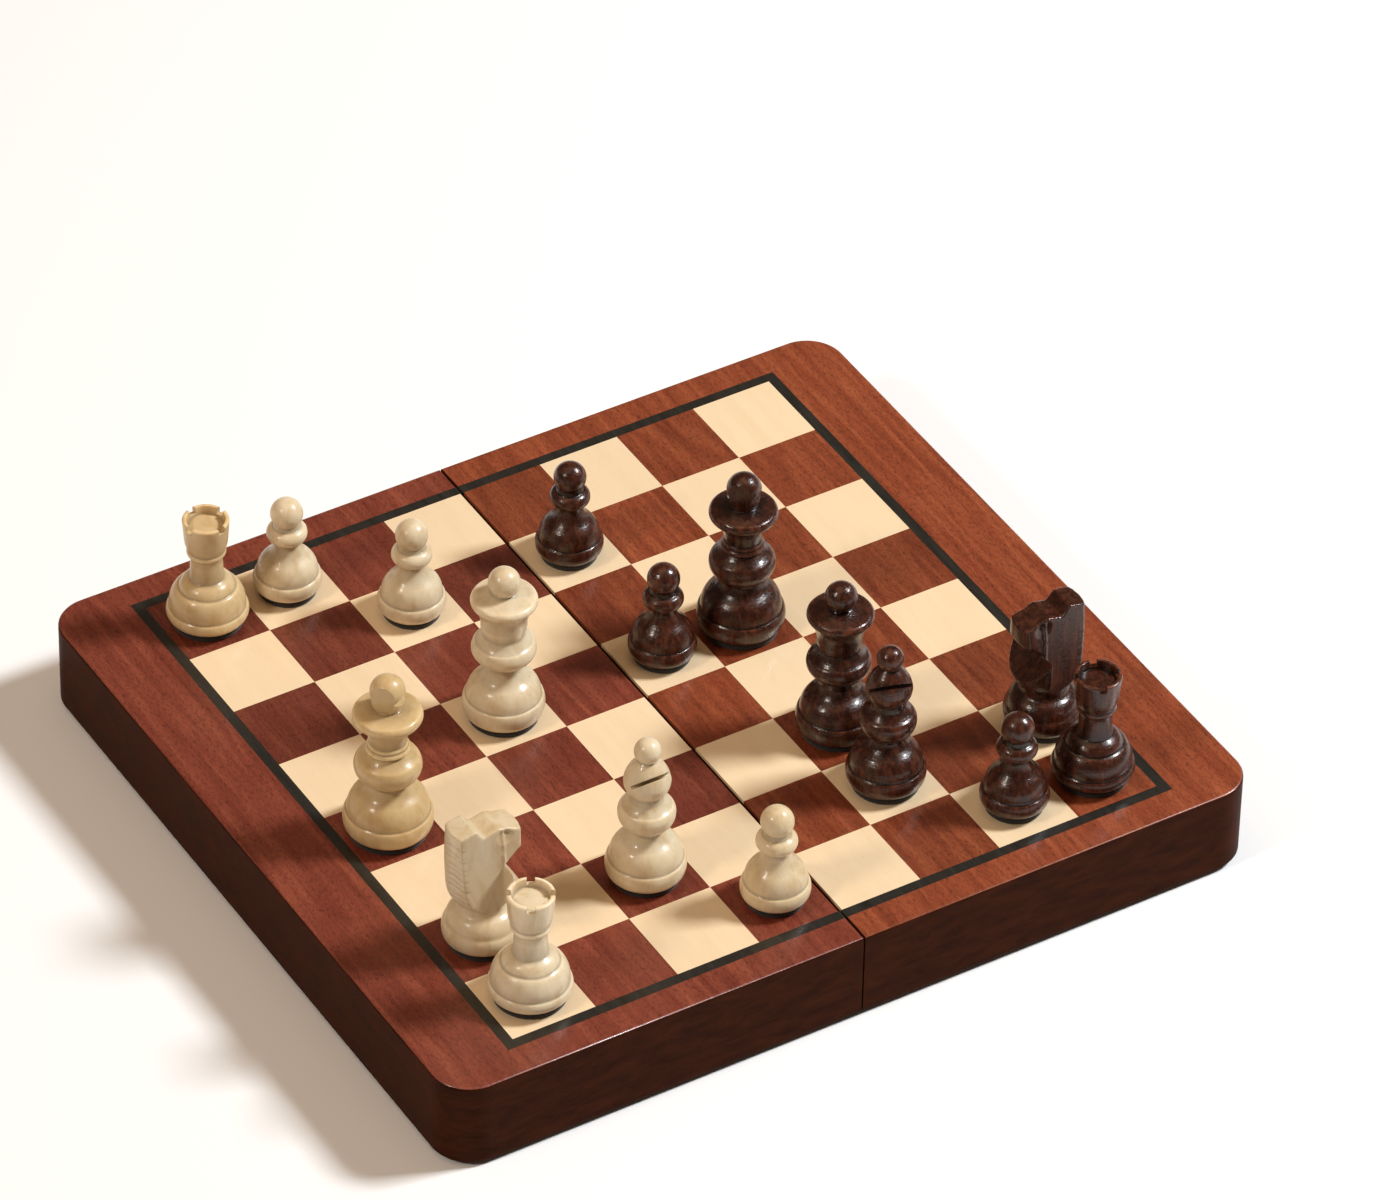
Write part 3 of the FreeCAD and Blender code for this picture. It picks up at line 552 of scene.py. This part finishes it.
STRIP = 1.2 * MM
OFFICER_SLOT, PAWN_SLOT = 44.5 * MM, 28 * MM
for half, side in HALVES:
    low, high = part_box(f"{half}_storage_tray")
    lining_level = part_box(f"{half}_deck")[0].z - 0.4 * MM
    pitch = (high.y - low.y + STRIP) / 8
    middle_z, depth = (low.z + lining_level) / 2, lining_level - low.z
    lining = eased_slab(f"{half}_lining", Vector((low.x, low.y, lining_level)), high,
                        (0, 0, 0, 0), 0.1 * MM, (0, 0, 0, 0), False, False, flock)
    spans = {}
    spans["officer"] = (low.x, low.x + OFFICER_SLOT)
    spans["pawn"] = (high.x - PAWN_SLOT, high.x)
    rows = []
    for kind, (start, end) in spans.items():
        rows.append(grown(
            f"{half}_{kind}_dividers", strips_tree, count=7,
            start=((start + end) / 2, -3 * pitch, middle_z), pitch=(0.0, pitch, 0.0),
            strip=(end - start, STRIP, depth), material=flock))
    first = spans["officer"][1] + STRIP / 2
    second = spans["pawn"][0] - STRIP / 2
    rows.append(grown(
        f"{half}_trough_dividers", strips_tree, count=2, start=(first, 0.0, middle_z),
        pitch=(second - first, 0.0, 0.0), strip=(STRIP, high.y - low.y, depth),
        material=flock))
    for piece in rows:
        fuzz = piece.modifiers.new("rubbed", "BEVEL")
        fuzz.width, fuzz.segments, fuzz.limit_method = 0.25 * MM, 2, "ANGLE"
        settled(piece)
    for piece in (lining, *rows):
        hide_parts(f"{half}_storage_tray")
        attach(piece, f"{half}_half")


# ---- Hinges and rim magnets ------------------------------------------------------------
# Two brass butt hinges join the halves. Their leaves are let in flush with the rims and
# each is held by two countersunk brass screws, and a steel pin runs through the knuckles.
# A nickel-plated magnet in each half's rim, at both ends, holds the box shut.
def metal(name, dark, bright, rough):
    made = bpy.data.materials.new(name)
    made.use_nodes = True
    shader = made.node_tree.nodes["Principled BSDF"]
    shader.inputs["Metallic"].default_value = 1.0
    place = step(made.node_tree, "ShaderNodeTexCoord").outputs["Object"]
    cloud = stretched_noise(made.node_tree, place, (2.5, 2.5, 2.5), 3.0)
    made.node_tree.links.new(colour_ramp(made.node_tree, cloud, ((0.35, dark), (0.65, bright))),
                             shader.inputs["Base Color"])
    marks = stretched_noise(made.node_tree, place, (0.25, 3.0, 0.25), 2.0)
    made.node_tree.links.new(step(made.node_tree, "ShaderNodeMapRange", {
        0: marks, 1: 0.3, 2: 0.7, 3: rough - 0.08, 4: rough + 0.1}).outputs[0],
        shader.inputs["Roughness"])
    made.node_tree.links.new(step(made.node_tree, "ShaderNodeBump", {
        "Height": marks, "Strength": 0.3, "Distance": 0.02 * MM}).outputs[0],
        shader.inputs["Normal"])
    return made


brass = metal("brass", (0.52, 0.34, 0.12), (0.72, 0.52, 0.22), 0.28)
pin_steel = metal("pin_steel", (0.45, 0.45, 0.46), (0.62, 0.62, 0.63), 0.3)
nickel = metal("nickel_plate", (0.58, 0.56, 0.52), (0.74, 0.72, 0.68), 0.2)

screws_tree = tree_with(
    "slotted_screws", ("start", "Vector"), ("hinge pitch", "Vector"), ("pair", "Vector"),
    ("head radius", "Float"), ("head height", "Float"), ("shank radius", "Float"),
    ("length", "Float"), ("seed", "Int"), ("material", "Material"),
)
given = screws_tree.nodes.new("NodeGroupInput").outputs
head = step(screws_tree, "GeometryNodeMeshCone", {
    "Vertices": 32, "Radius Top": given["shank radius"], "Radius Bottom": given["head radius"],
    "Depth": given["head height"]}).outputs[0]
cross = step(screws_tree, "GeometryNodeMeshCube", {"Size": step(
    screws_tree, "ShaderNodeCombineXYZ", {
        0: math_step(screws_tree, "MULTIPLY", given["head radius"], 3.0),
        1: math_step(screws_tree, "MULTIPLY", given["head radius"], 0.28),
        2: math_step(screws_tree, "MULTIPLY", given["head height"], 0.9)}).outputs[0]}).outputs[0]
slotted = step(screws_tree, "GeometryNodeMeshBoolean", {0: head, 1: cross},
               operation="DIFFERENCE", solver="EXACT").outputs[0]
shank = step(screws_tree, "GeometryNodeMeshCylinder", {
    "Vertices": 20, "Radius": given["shank radius"],
    "Depth": math_step(screws_tree, "SUBTRACT", given["length"], given["head height"])}).outputs[0]
raised = step(screws_tree, "GeometryNodeTransform", {"Geometry": shank, "Translation": step(
    screws_tree, "ShaderNodeCombineXYZ", {2: math_step(
        screws_tree, "ADD", given["head height"], math_step(
            screws_tree, "MULTIPLY", math_step(
                screws_tree, "SUBTRACT", given["length"], given["head height"]), 0.5))
    }).outputs[0]}).outputs[0]
screw = step(screws_tree, "GeometryNodeJoinGeometry")
screws_tree.links.new(slotted, screw.inputs[0])
screws_tree.links.new(raised, screw.inputs[0])
pairs = step(screws_tree, "GeometryNodeMeshLine", {
    "Count": 2, "Start Location": given["start"], "Offset": given["hinge pitch"]}).outputs[0]
pair = step(screws_tree, "GeometryNodeMeshLine", {
    "Count": 2, "Offset": given["pair"]}).outputs[0]
spots = step(screws_tree, "GeometryNodeRealizeInstances", {0: step(
    screws_tree, "GeometryNodeInstanceOnPoints", {"Points": pairs, "Instance": pair}
).outputs[0]}).outputs[0]
turn = step(screws_tree, "ShaderNodeCombineXYZ", {2: step(
    screws_tree, "FunctionNodeRandomValue", {2: 0.0, 3: math.pi, 8: given["seed"]},
    data_type="FLOAT").outputs[1]}).outputs[0]
close_tree(screws_tree, step(screws_tree, "GeometryNodeInstanceOnPoints", {
    "Points": spots, "Instance": screw.outputs[0], "Rotation": turn}).outputs[0],
    given["material"])

HEAD, SHANK, SCREW_PITCH = 1.1 * MM, 0.55 * MM, 9 * MM
for half, side in HALVES:
    low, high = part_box(f"{half}_hinge_screws")
    across = (low.x + high.x) / 2
    screws = grown(
        f"{half}_screws", screws_tree, start=(across, low.y + HEAD, low.z),
        hinge_pitch=(0.0, 2 * HINGE_Y, 0.0), pair=(0.0, SCREW_PITCH, 0.0), head_radius=HEAD,
        head_height=LEAF, shank_radius=SHANK, length=high.z - low.z, seed=11 + side,
        material=brass)
    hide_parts(f"{half}_hinge_screws")
    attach(screws, f"{half}_half")
    for node, finish in ((f"{half}_hinge_leaves", brass), (f"{half}_rim_magnets", nickel)):
        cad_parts[node].data.materials.clear()
        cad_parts[node].data.materials.append(finish)
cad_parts["hinge_pins"].data.materials.clear()
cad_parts["hinge_pins"].data.materials.append(pin_steel)


# ---- Men -------------------------------------------------------------------------------
# Every man is turned on a lathe from a stick of pale boxwood, in black's case stained and
# lacquered dark brown, then carved by hand where its kind needs it. A magnet is glued into
# its foot and a disc of black felt under that.
BALL = "ball"
OUTLINES = {
    "pawn": (
        (6.9, 0.0, 50), (7.6, 1.4, 40), (7.15, 3.6, 0), (6.8, 3.8, 55), (4.7, 8.4, -40),
        (2.8, 11.6, 0), (2.9, 12.7, 160), (3.0, 16.5, 0), (2.7, 17.5, BALL), (0.0, 23.6, 0),
    ),
    "rook": (
        (8.4, 0.0, 50), (9.15, 1.4, 35), (8.75, 2.8, 0), (8.4, 3.0, 55), (6.7, 7.8, 0),
        (6.2, 8.0, 50), (4.2, 10.3, 0), (3.75, 10.6, 0), (3.6, 14.6, -25), (3.75, 17.0, 0),
        (4.25, 17.3, 60), (4.25, 18.3, 0), (4.1, 18.5, 25), (4.85, 21.5, 0), (5.2, 26.2, 90),
        (4.9, 26.6, 40), (4.3, 26.6, 0), (4.0, 24.6, 15), (0.0, 25.1, 0),
    ),
    "bishop": (
        (8.0, 0.0, 50), (8.7, 1.5, 40), (8.35, 4.1, 0), (8.0, 4.3, 55), (5.6, 8.9, -45),
        (3.4, 11.6, 0), (3.5, 12.5, 70), (6.25, 16.2, 50), (5.6, 18.3, 0), (5.2, 18.5, -25),
        (3.6, 20.3, 0), (3.5, 21.8, 55), (5.1, 25.4, 45), (1.9, 30.85, BALL), (0.0, 36.05, 0),
    ),
    "queen": (
        (8.2, 0.0, 50), (8.95, 1.6, 40), (8.6, 4.6, 0), (8.25, 4.8, 55), (5.9, 9.2, -45),
        (3.75, 11.8, 0), (3.8, 14.0, 60), (7.1, 17.2, 50), (6.4, 19.5, 0), (6.05, 19.7, -25),
        (4.5, 21.8, 0), (5.1, 24.0, -40), (6.9, 29.9, 120), (6.6, 31.9, -12),
        (2.5, 33.05, BALL), (0.0, 39.17, 0),
    ),
    "king": (
        (9.0, 0.0, 50), (9.75, 1.7, 40), (9.35, 4.4, 0), (9.0, 4.6, 55), (6.4, 9.6, -45),
        (4.55, 12.4, 0), (4.6, 13.1, 60), (7.3, 16.2, 50), (6.6, 19.0, 0), (6.3, 19.2, -25),
        (4.2, 21.2, 0), (4.8, 21.4, 75), (4.55, 22.3, 0), (4.3, 22.5, 75), (4.2, 23.3, 0),
        (4.0, 23.5, 0), (4.45, 25.6, -40), (7.1, 29.5, 110), (6.9, 31.8, 0),
        (3.0, 32.7, 0), (3.5, 33.9, 0), (3.85, 37.0, BALL), (0.0, 40.8, 0),
    ),
    "knight": (
        (7.95, 0.0, 50), (8.65, 1.5, 40), (8.3, 4.0, 0), (7.95, 4.2, 55), (6.2, 7.6, -45),
        (5.0, 8.6, 60), (5.0, 9.9, 0), (5.1, 10.1, 50), (7.8, 14.6, 6), (7.8, 32.4, 0),
        (0.0, 32.4, 0),
    ),
}
PAD, MAGNET_RADIUS, MAGNET_HEIGHT, PAD_INSET = 2.0, 4.0, 2.0, 1.2


def arc_points(start, end, sweep, spacing=0.12):
    """Points from start to end in (radius, level), along an arc that swells or hollows."""
    start, end = np.array(start), np.array(end)
    if not sweep:
        count = max(1, int(np.hypot(*(end - start)) / spacing))
        return [start + (end - start) * k / count for k in range(count)]
    if sweep == BALL:
        level = (end[1] ** 2 - start[1] ** 2 - start[0] ** 2) / (2 * (end[1] - start[1]))
        centre = np.array((0, level))
        first = math.atan2(start[1] - level, start[0])
        last, radius = math.pi / 2, end[1] - level
    else:
        chord = end - start
        length, half_turn = np.hypot(*chord), math.radians(abs(sweep)) / 2
        radius = length / 2 / math.sin(half_turn)
        outward = np.array((chord[1], -chord[0])) / length * (1 if sweep > 0 else -1)
        centre = (start + end) / 2 - outward * radius * math.cos(half_turn)
        first = math.atan2(*(start - centre)[::-1])
        last = first + (2 * half_turn if sweep > 0 else -2 * half_turn)
    count = max(4, int(abs(last - first) * radius / spacing))
    turns = [first + (last - first) * k / count for k in range(count)]
    return [centre + radius * np.array((math.cos(t), math.sin(t))) for t in turns]


def lacquered(points, spread=0.09, tolerance=0.010):
    """The outline with its corners filled by lacquer, in no more points than it needs. Each
    point has with it how far it stands out as an edge, from -1 in a groove to 1 on a bead."""
    points = np.array(points)
    along = np.concatenate([[0], np.cumsum(np.hypot(*np.diff(points, axis=0).T))])
    even = np.arange(0, along[-1], 0.06)
    line = np.stack([np.interp(even, along, points[:, k]) for k in (0, 1)], 1)
    reach = int(spread / 0.06 * 3)
    weights = np.exp(-0.5 * (np.arange(-reach, reach + 1) * 0.06 / spread) ** 2)
    weights /= weights.sum()
    mirrored = np.concatenate([
        2 * line[:1] - line[reach:0:-1], line,
        line[-2:-reach - 2:-1] * (-1, 1)])
    soft = np.stack([np.convolve(mirrored[:, k], weights, "valid") for k in (0, 1)], 1)
    soft = np.concatenate([soft, points[-1:]])
    soft[-1] = (0, soft[-2][1])
    heading = np.unwrap(np.arctan2(*np.gradient(soft, axis=0).T[::-1]))
    bend = np.convolve(np.gradient(heading), np.ones(9), "same")
    edge = np.clip(bend / 0.8, -1, 1)
    kept, stack = {0, len(soft) - 1}, [(0, len(soft) - 1)]
    while stack:
        a, b = stack.pop()
        if b - a < 2:
            continue
        chord = soft[b] - soft[a]
        reach_out = np.abs(chord[0] * (soft[a + 1:b, 1] - soft[a, 1])
                           - chord[1] * (soft[a + 1:b, 0] - soft[a, 0]))
        reach_out /= max(np.hypot(*chord), 1e-9)
        worst = int(reach_out.argmax())
        if reach_out[worst] > tolerance:
            kept.add(a + 1 + worst)
            stack += [(a, a + 1 + worst), (a + 1 + worst, b)]
    kept = sorted(kept)
    return soft[kept], edge[kept]


def turned_mesh(name, points, edges, turns=80):
    """The outline turned about the axis. It starts and ends on the axis."""
    rings = points[1:-1]
    angles = np.arange(turns) * math.tau / turns
    coords = [(0, 0, points[0][1])]
    for radius, level in rings:
        coords += [(radius * math.cos(t), radius * math.sin(t), level) for t in angles]
    coords.append((0, 0, points[-1][1]))
    around = [(k, (k + 1) % turns) for k in range(turns)]
    faces = [(0, 1 + b, 1 + a) for a, b in around]
    for ring in range(len(rings) - 1):
        low, high = 1 + ring * turns, 1 + (ring + 1) * turns
        faces += [(low + a, low + b, high + b, high + a) for a, b in around]
    last = 1 + (len(rings) - 1) * turns
    faces += [(last + a, last + b, len(coords) - 1) for a, b in around]
    mesh = bpy.data.meshes.new(name)
    mesh.from_pydata((np.array(coords) * MM).tolist(), [], faces)
    spread = np.concatenate([[edges[0]], np.repeat(edges[1:-1], turns), [edges[-1]]])
    mesh.attributes.new("edge", "FLOAT", "POINT").data.foreach_set(
        "value", spread.astype(np.float32))
    smooth(mesh, 45)
    return mesh


def kind_outline(kind):
    """The whole outline of one kind, from the top of the magnet's pocket to the crown."""
    outline = [(r, z + PAD) for r, z, _ in OUTLINES[kind]]
    sweeps = [sweep for *_, sweep in OUTLINES[kind]]
    pocket = [(0, PAD + MAGNET_HEIGHT), (MAGNET_RADIUS, PAD + MAGNET_HEIGHT),
              (MAGNET_RADIUS, PAD)]
    points = []
    for start, end in zip(pocket, pocket[1:] + outline[:1]):
        points += arc_points(start, end, 0)
    for start, end, sweep in zip(outline, outline[1:], sweeps):
        points += arc_points(start, end, sweep)
    return [*points, outline[-1]]


def bevelled(piece, width, angle=38, segments=2):
    edge = piece.modifiers.new("lacquered_edge", "BEVEL")
    edge.width, edge.segments, edge.limit_method = width * MM, segments, "ANGLE"
    edge.angle_limit = math.radians(angle)
    return settled(piece, 50)


def rook_carving(piece):
    """Four notches through the wall of the cup."""
    for quarter in range(4):
        turn = Matrix.Rotation(math.radians(90 * quarter), 4, "Z")
        tool = block("notch", (3.2 * MM, -0.85 * MM, (25.2 + PAD) * MM),
                     (7 * MM, 0.85 * MM, (28 + PAD) * MM))
        tool.data.transform(turn)
        worked(piece, "DIFFERENCE", tool)
    return bevelled(piece, 0.2)


def bishop_carving(piece):
    """One slanting saw cut into the mitre."""
    tool = block("saw", (0, -10 * MM, 0), (20 * MM, 10 * MM, 0.8 * MM))
    front = 5.1 - 3.5
    tool.data.transform(
        Matrix.Translation(Vector((front, 0, 23.9 + front + PAD)) * MM)
        @ Matrix.Rotation(math.radians(-45), 4, "Y"))
    return bevelled(worked(piece, "DIFFERENCE", tool), 0.1)


def king_carving(piece):
    """The finial is split off flat on two sides and notched on the other two, which leaves
    the arms of a plain cross."""
    for way in (-1, 1):
        split = block("split", (-6 * MM, 2.7 * MM, (32.9 + PAD) * MM),
                      (6 * MM, 6 * MM, (42 + PAD) * MM))
        split.data.transform(Matrix.Rotation(math.radians(90 - 90 * way), 4, "Z"))
        worked(piece, "DIFFERENCE", split)
        tool = block("notch", (0, -6 * MM, 0), (2.1 * MM, 6 * MM, 2.1 * MM))
        tool.data.transform(
            Matrix.Translation(Vector((way * 3.85 - 1.485, 0, 35.8 + PAD)) * MM)
            @ Matrix.Rotation(math.radians(45), 4, "Y"))
        worked(piece, "DIFFERENCE", tool)
    return bevelled(piece, 0.12)


CHEEK_FOOT, CHEEK_TOP = (5.0, 10.1), (3.3, 32.4)
MANE_PITCH, MANE_DEPTH = 1.55, 0.14
EYES = ((3.4, 28.2, 2.2, 0.45), (3.8, 28.7, 0.8, 0.45))
TOP_LINE = ((-8.6, 30.8), (-3.4, 31.9), (-1.5, 29.6), (1.9, 30.5), (8.6, 28.2))
THROAT_LINE = ((8.6, 24.4), (6.6, 23.8), (3.0, 20.5), (7.6, 13.4), (8.6, 12.0))


def knight_carving(piece):
    """The sides are split off flat, the top and the throat cut in, then the mane is hatched
    with a gouge, the eyes drilled and the whole rubbed down."""
    def cheek(level):
        (foot_y, foot_z), (top_y, top_z) = CHEEK_FOOT, CHEEK_TOP
        return foot_y - (level - foot_z) * (foot_y - top_y) / (top_z - foot_z)

    tools = [
        prism("top", [(x * MM, -12 * MM, (z + PAD) * MM)
                      for x, z in (*TOP_LINE, (8.6, 40), (-8.6, 40))], (0, 24 * MM, 0)),
        prism("throat", [(x * MM, -12 * MM, (z + PAD) * MM)
                         for x, z in (*THROAT_LINE, (12, 12), (12, 24.4))], (0, 24 * MM, 0)),
    ]
    for way in (-1, 1):
        for back, front, foot in ((-12, 2.9, 9.7), (2.9, 12, 20.5)):
            tools.append(prism("side", [
                (back * MM, way * y * MM, (z + PAD) * MM)
                for y, z in ((cheek(foot), foot), (12, foot), (12, 40), (cheek(40), 40))],
                ((front - back) * MM, 0, 0)))
    worked(piece, "DIFFERENCE", *tools)
    skin = piece.modifiers.new("rubbed", "REMESH")
    skin.mode, skin.voxel_size = "VOXEL", 0.3 * MM
    soft = piece.modifiers.new("soft", "SMOOTH")
    soft.factor, soft.iterations = 0.5, 3
    settled(piece, 180)
    mesh = piece.data
    co = np.zeros(len(mesh.vertices) * 3)
    mesh.vertices.foreach_get("co", co)
    co = co.reshape(-1, 3) / MM
    x, y, z = co[:, 0], co[:, 1], co[:, 2] - PAD
    radius = np.hypot(x, y)
    on_mane = (np.clip((radius - 7.0) / 0.4, 0, 1) * np.clip((-2.0 - x) / 1.5, 0, 1)
               * np.clip((z - 12.5) / 1.5, 0, 1) * np.clip((30.0 - z) / 1.0, 0, 1))
    wave = z + 0.35 * np.sin(y * 0.9) + 0.25 * np.sin(z * 1.7)
    hatch = np.clip(np.cos(wave * math.tau / MANE_PITCH), 0, 1) ** 3
    inward = MANE_DEPTH * hatch * on_mane
    co[:, 0] -= x / np.maximum(radius, 1e-6) * inward
    co[:, 1] -= y / np.maximum(radius, 1e-6) * inward
    for eye_x, eye_z, reach, depth in EYES:
        gap = np.hypot(x - eye_x, z - eye_z)
        drilled = np.clip(1 - (gap / reach) ** 2, 0, 1) * depth * (np.abs(y) > 2.4)
        co[:, 1] -= np.sign(y) * drilled
    mesh.vertices.foreach_set("co", (co * MM).ravel())
    # The mane's hatched furrows are stored as grooves, so the finish darkens them with painted
    # shade.
    mesh.attributes.new("edge", "FLOAT", "POINT").data.foreach_set(
        "value", (-0.6 * hatch * on_mane).astype(np.float32))
    mesh.update()
    return piece


CARVING = {"rook": rook_carving, "bishop": bishop_carving, "king": king_carving,
           "knight": knight_carving}

# The first of each finish's two edge values darkens the men's grooves with painted shade; the
# second lightens their beads, where black's stain wears thin.
boxwood = wood(
    "boxwood", ((0.28, (0.69, 0.51, 0.29)), (0.5, (0.80, 0.65, 0.43)), (0.75, (0.85, 0.73, 0.52))),
    (3.5, 3.5, 9), (0.5, 0.5, 2.5), stock="stock", pore_shade=0.93, pore_share=0.4,
    tone_change=0.06, rough=(0.32, 0.44), coat=0.3, coat_rough=0.14, relief=0.003, peel=0.012,
    groove_shade_edge_wear=(0.58, 1.05), gloss=0.3, aged=(0.92, 0.78, 0.55),
)
dark_lacquer = wood(
    "brown_lacquer", ((0.25, (0.009, 0.0024, 0.0013)), (0.5, (0.022, 0.0058, 0.0028)),
                      (0.8, (0.070, 0.019, 0.0075))),
    (1.3, 1.3, 11), (0.35, 0.35, 2.6), stock="stock", pore_shade=0.5, pore_share=0.45,
    tone_change=0.15, rough=(0.24, 0.34), coat=0.4, coat_rough=0.09, relief=0.010, peel=0.06,
    skin=(1.6, 1.6, 0.35), groove_shade_edge_wear=(0.35, 3.2), gloss=0.3,
)
felt = bpy.data.materials.new("black_felt")
felt.use_nodes = True
shader = felt.node_tree.nodes["Principled BSDF"]
place = step(felt.node_tree, "ShaderNodeTexCoord").outputs["Object"]
fuzz = stretched_noise(felt.node_tree, place, (0.3, 0.3, 0.3), 4.0, 0.7)
felt.node_tree.links.new(colour_ramp(
    felt.node_tree, fuzz, ((0.35, (0.006, 0.006, 0.006)), (0.65, (0.018, 0.017, 0.016)))),
    shader.inputs["Base Color"])
shader.inputs["Roughness"].default_value = 0.95
shader.inputs["Sheen Weight"].default_value = 0.15
felt.node_tree.links.new(step(
    felt.node_tree, "ShaderNodeBump", {"Height": fuzz, "Strength": 0.8, "Distance": 0.12 * MM}
).outputs[0], shader.inputs["Normal"])

# How each man on the board is turned, in degrees. White's king and queen's rook are cut
# from a yellower stick than the rest.
TURNED = {
    "white_king": -50, "white_rook_a": 15, "white_rook_h": -30, "white_bishop_f": -90,
    "black_king": -50, "black_rook_h": -20, "black_knight_g": 180, "black_bishop_f": -108,
}
TONES = {"white_king": 0.95, "white_rook_a": 0.85, "white_queen": 0.3, "white_rook_h": 0.2}
carved_kinds = {}
for kind in OUTLINES:
    points, edges = lacquered(kind_outline(kind))
    blank = shown(kind, turned_mesh(kind, points, edges))
    carved_kinds[kind] = CARVING[kind](blank) if kind in CARVING else blank

board_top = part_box("left_light_squares")[1].z
men = sorted(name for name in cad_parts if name.startswith(("white_", "black_")))
for order, node in enumerate(men):
    kind = node.split("_")[1]
    low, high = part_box(node)
    middle = (low + high) / 2
    if low.z > board_top - PAD * MM:
        at = (Matrix.Translation((middle.x, middle.y, low.z))
              @ Matrix.Rotation(math.radians(TURNED.get(node, 0)), 4, "Z"))
    else:
        outward = 1 if middle.x > 0 else -1
        colour_side = -1 if node.startswith("white") else 1
        foot = colour_side if (kind != "pawn") == (colour_side < 0) else -colour_side
        at = (Matrix.Translation((high.x if foot > 0 else low.x, middle.y, middle.z))
              @ Matrix.Rotation(math.radians(-90 * foot), 4, "Y"))
    mesh = carved_kinds[kind].data.copy()
    co = np.zeros(len(mesh.vertices) * 3, np.float32)
    mesh.vertices.foreach_get("co", co)
    mesh.attributes.new("stock", "FLOAT_VECTOR", "POINT").data.foreach_set("vector", co)
    tone = TONES.get(node, (order * 0.381966) % 1 * 0.7)
    mesh.attributes.new("tone", "FLOAT", "POINT").data.foreach_set(
        "value", np.full(len(mesh.vertices), tone, np.float32))
    mesh.transform(at)
    man = shown(f"{node}_wood", mesh, boxwood if node.startswith("white") else dark_lacquer)
    foot_radius = max(r for r, *_ in OUTLINES[kind]) - PAD_INSET
    disc = [(0, 0), (foot_radius - 0.3, 0), (foot_radius, 0.35), (foot_radius, PAD - 0.3),
            (foot_radius - 0.15, PAD), (0, PAD)]
    slug = [(0, PAD), (MAGNET_RADIUS - 0.15, PAD), (MAGNET_RADIUS - 0.02, PAD + 0.15),
            (MAGNET_RADIUS - 0.02, PAD + MAGNET_HEIGHT - 0.15),
            (MAGNET_RADIUS - 0.15, PAD + MAGNET_HEIGHT), (0, PAD + MAGNET_HEIGHT)]
    fitted = []
    for part, outline, finish in (("pad", disc, felt), ("magnet", slug, nickel)):
        shape = turned_mesh(f"{node}_{part}", outline, np.zeros(len(outline)), 48)
        shape.transform(at)
        fitted.append(shown(f"{node}_{part}", shape, finish))
    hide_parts(node)
    for piece in (man, *fitted):
        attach(piece, f"{node}_man")
for blank in carved_kinds.values():
    bpy.data.objects.remove(blank)


# ---- Table top and light ---------------------------------------------------------------
# A plain near-white sweep to stand the board on, a cool main light from the right, a broad
# warm one overhead and a weak window on the left.
def soft_light(name, at, aim, size, watts, colour):
    lamp = bpy.data.lights.new(name, "AREA")
    lamp.shape, lamp.size, lamp.energy, lamp.color = "SQUARE", size, watts, colour
    made = bpy.data.objects.new(name, lamp)
    bpy.context.scene.collection.objects.link(made)
    made.location = at
    made.rotation_euler = (Vector(aim) - Vector(at)).to_track_quat("-Z", "Y").to_euler()
    return made


shape = bmesh.new()
for x, y in ((-4, -4), (4, -4), (4, 4), (-4, 4)):
    shape.verts.new((x, y, 0))
shape.faces.new(shape.verts)
mesh = bpy.data.meshes.new("table_top")
shape.to_mesh(mesh)
shape.free()
paper = bpy.data.materials.new("table_top")
paper.use_nodes = True
paper.node_tree.nodes["Principled BSDF"].inputs["Base Color"].default_value = (0.92, 0.92, 0.92, 1)
paper.node_tree.nodes["Principled BSDF"].inputs["Roughness"].default_value = 0.8
shown("table_top", mesh, paper)

soft_light("main_light", (1.25, -0.46, 1.45), (0, 0, 0), 0.36, 44, (0.93, 0.97, 1.0))
soft_light("overhead", (-0.3, 0.2, 1.9), (0, 0, 0), 1.5, 7, (1.0, 0.66, 0.40))
soft_light("left_window", (-1.45, -0.12, 1.35), (0, 0, 0), 0.3, 12, (1.0, 0.88, 0.76))
world = bpy.data.worlds.new("studio")
bpy.context.scene.world = world
world.use_nodes = True
world.node_tree.nodes["Background"].inputs["Color"].default_value = (1, 0.75, 0.55, 1)
world.node_tree.nodes["Background"].inputs["Strength"].default_value = 0.11
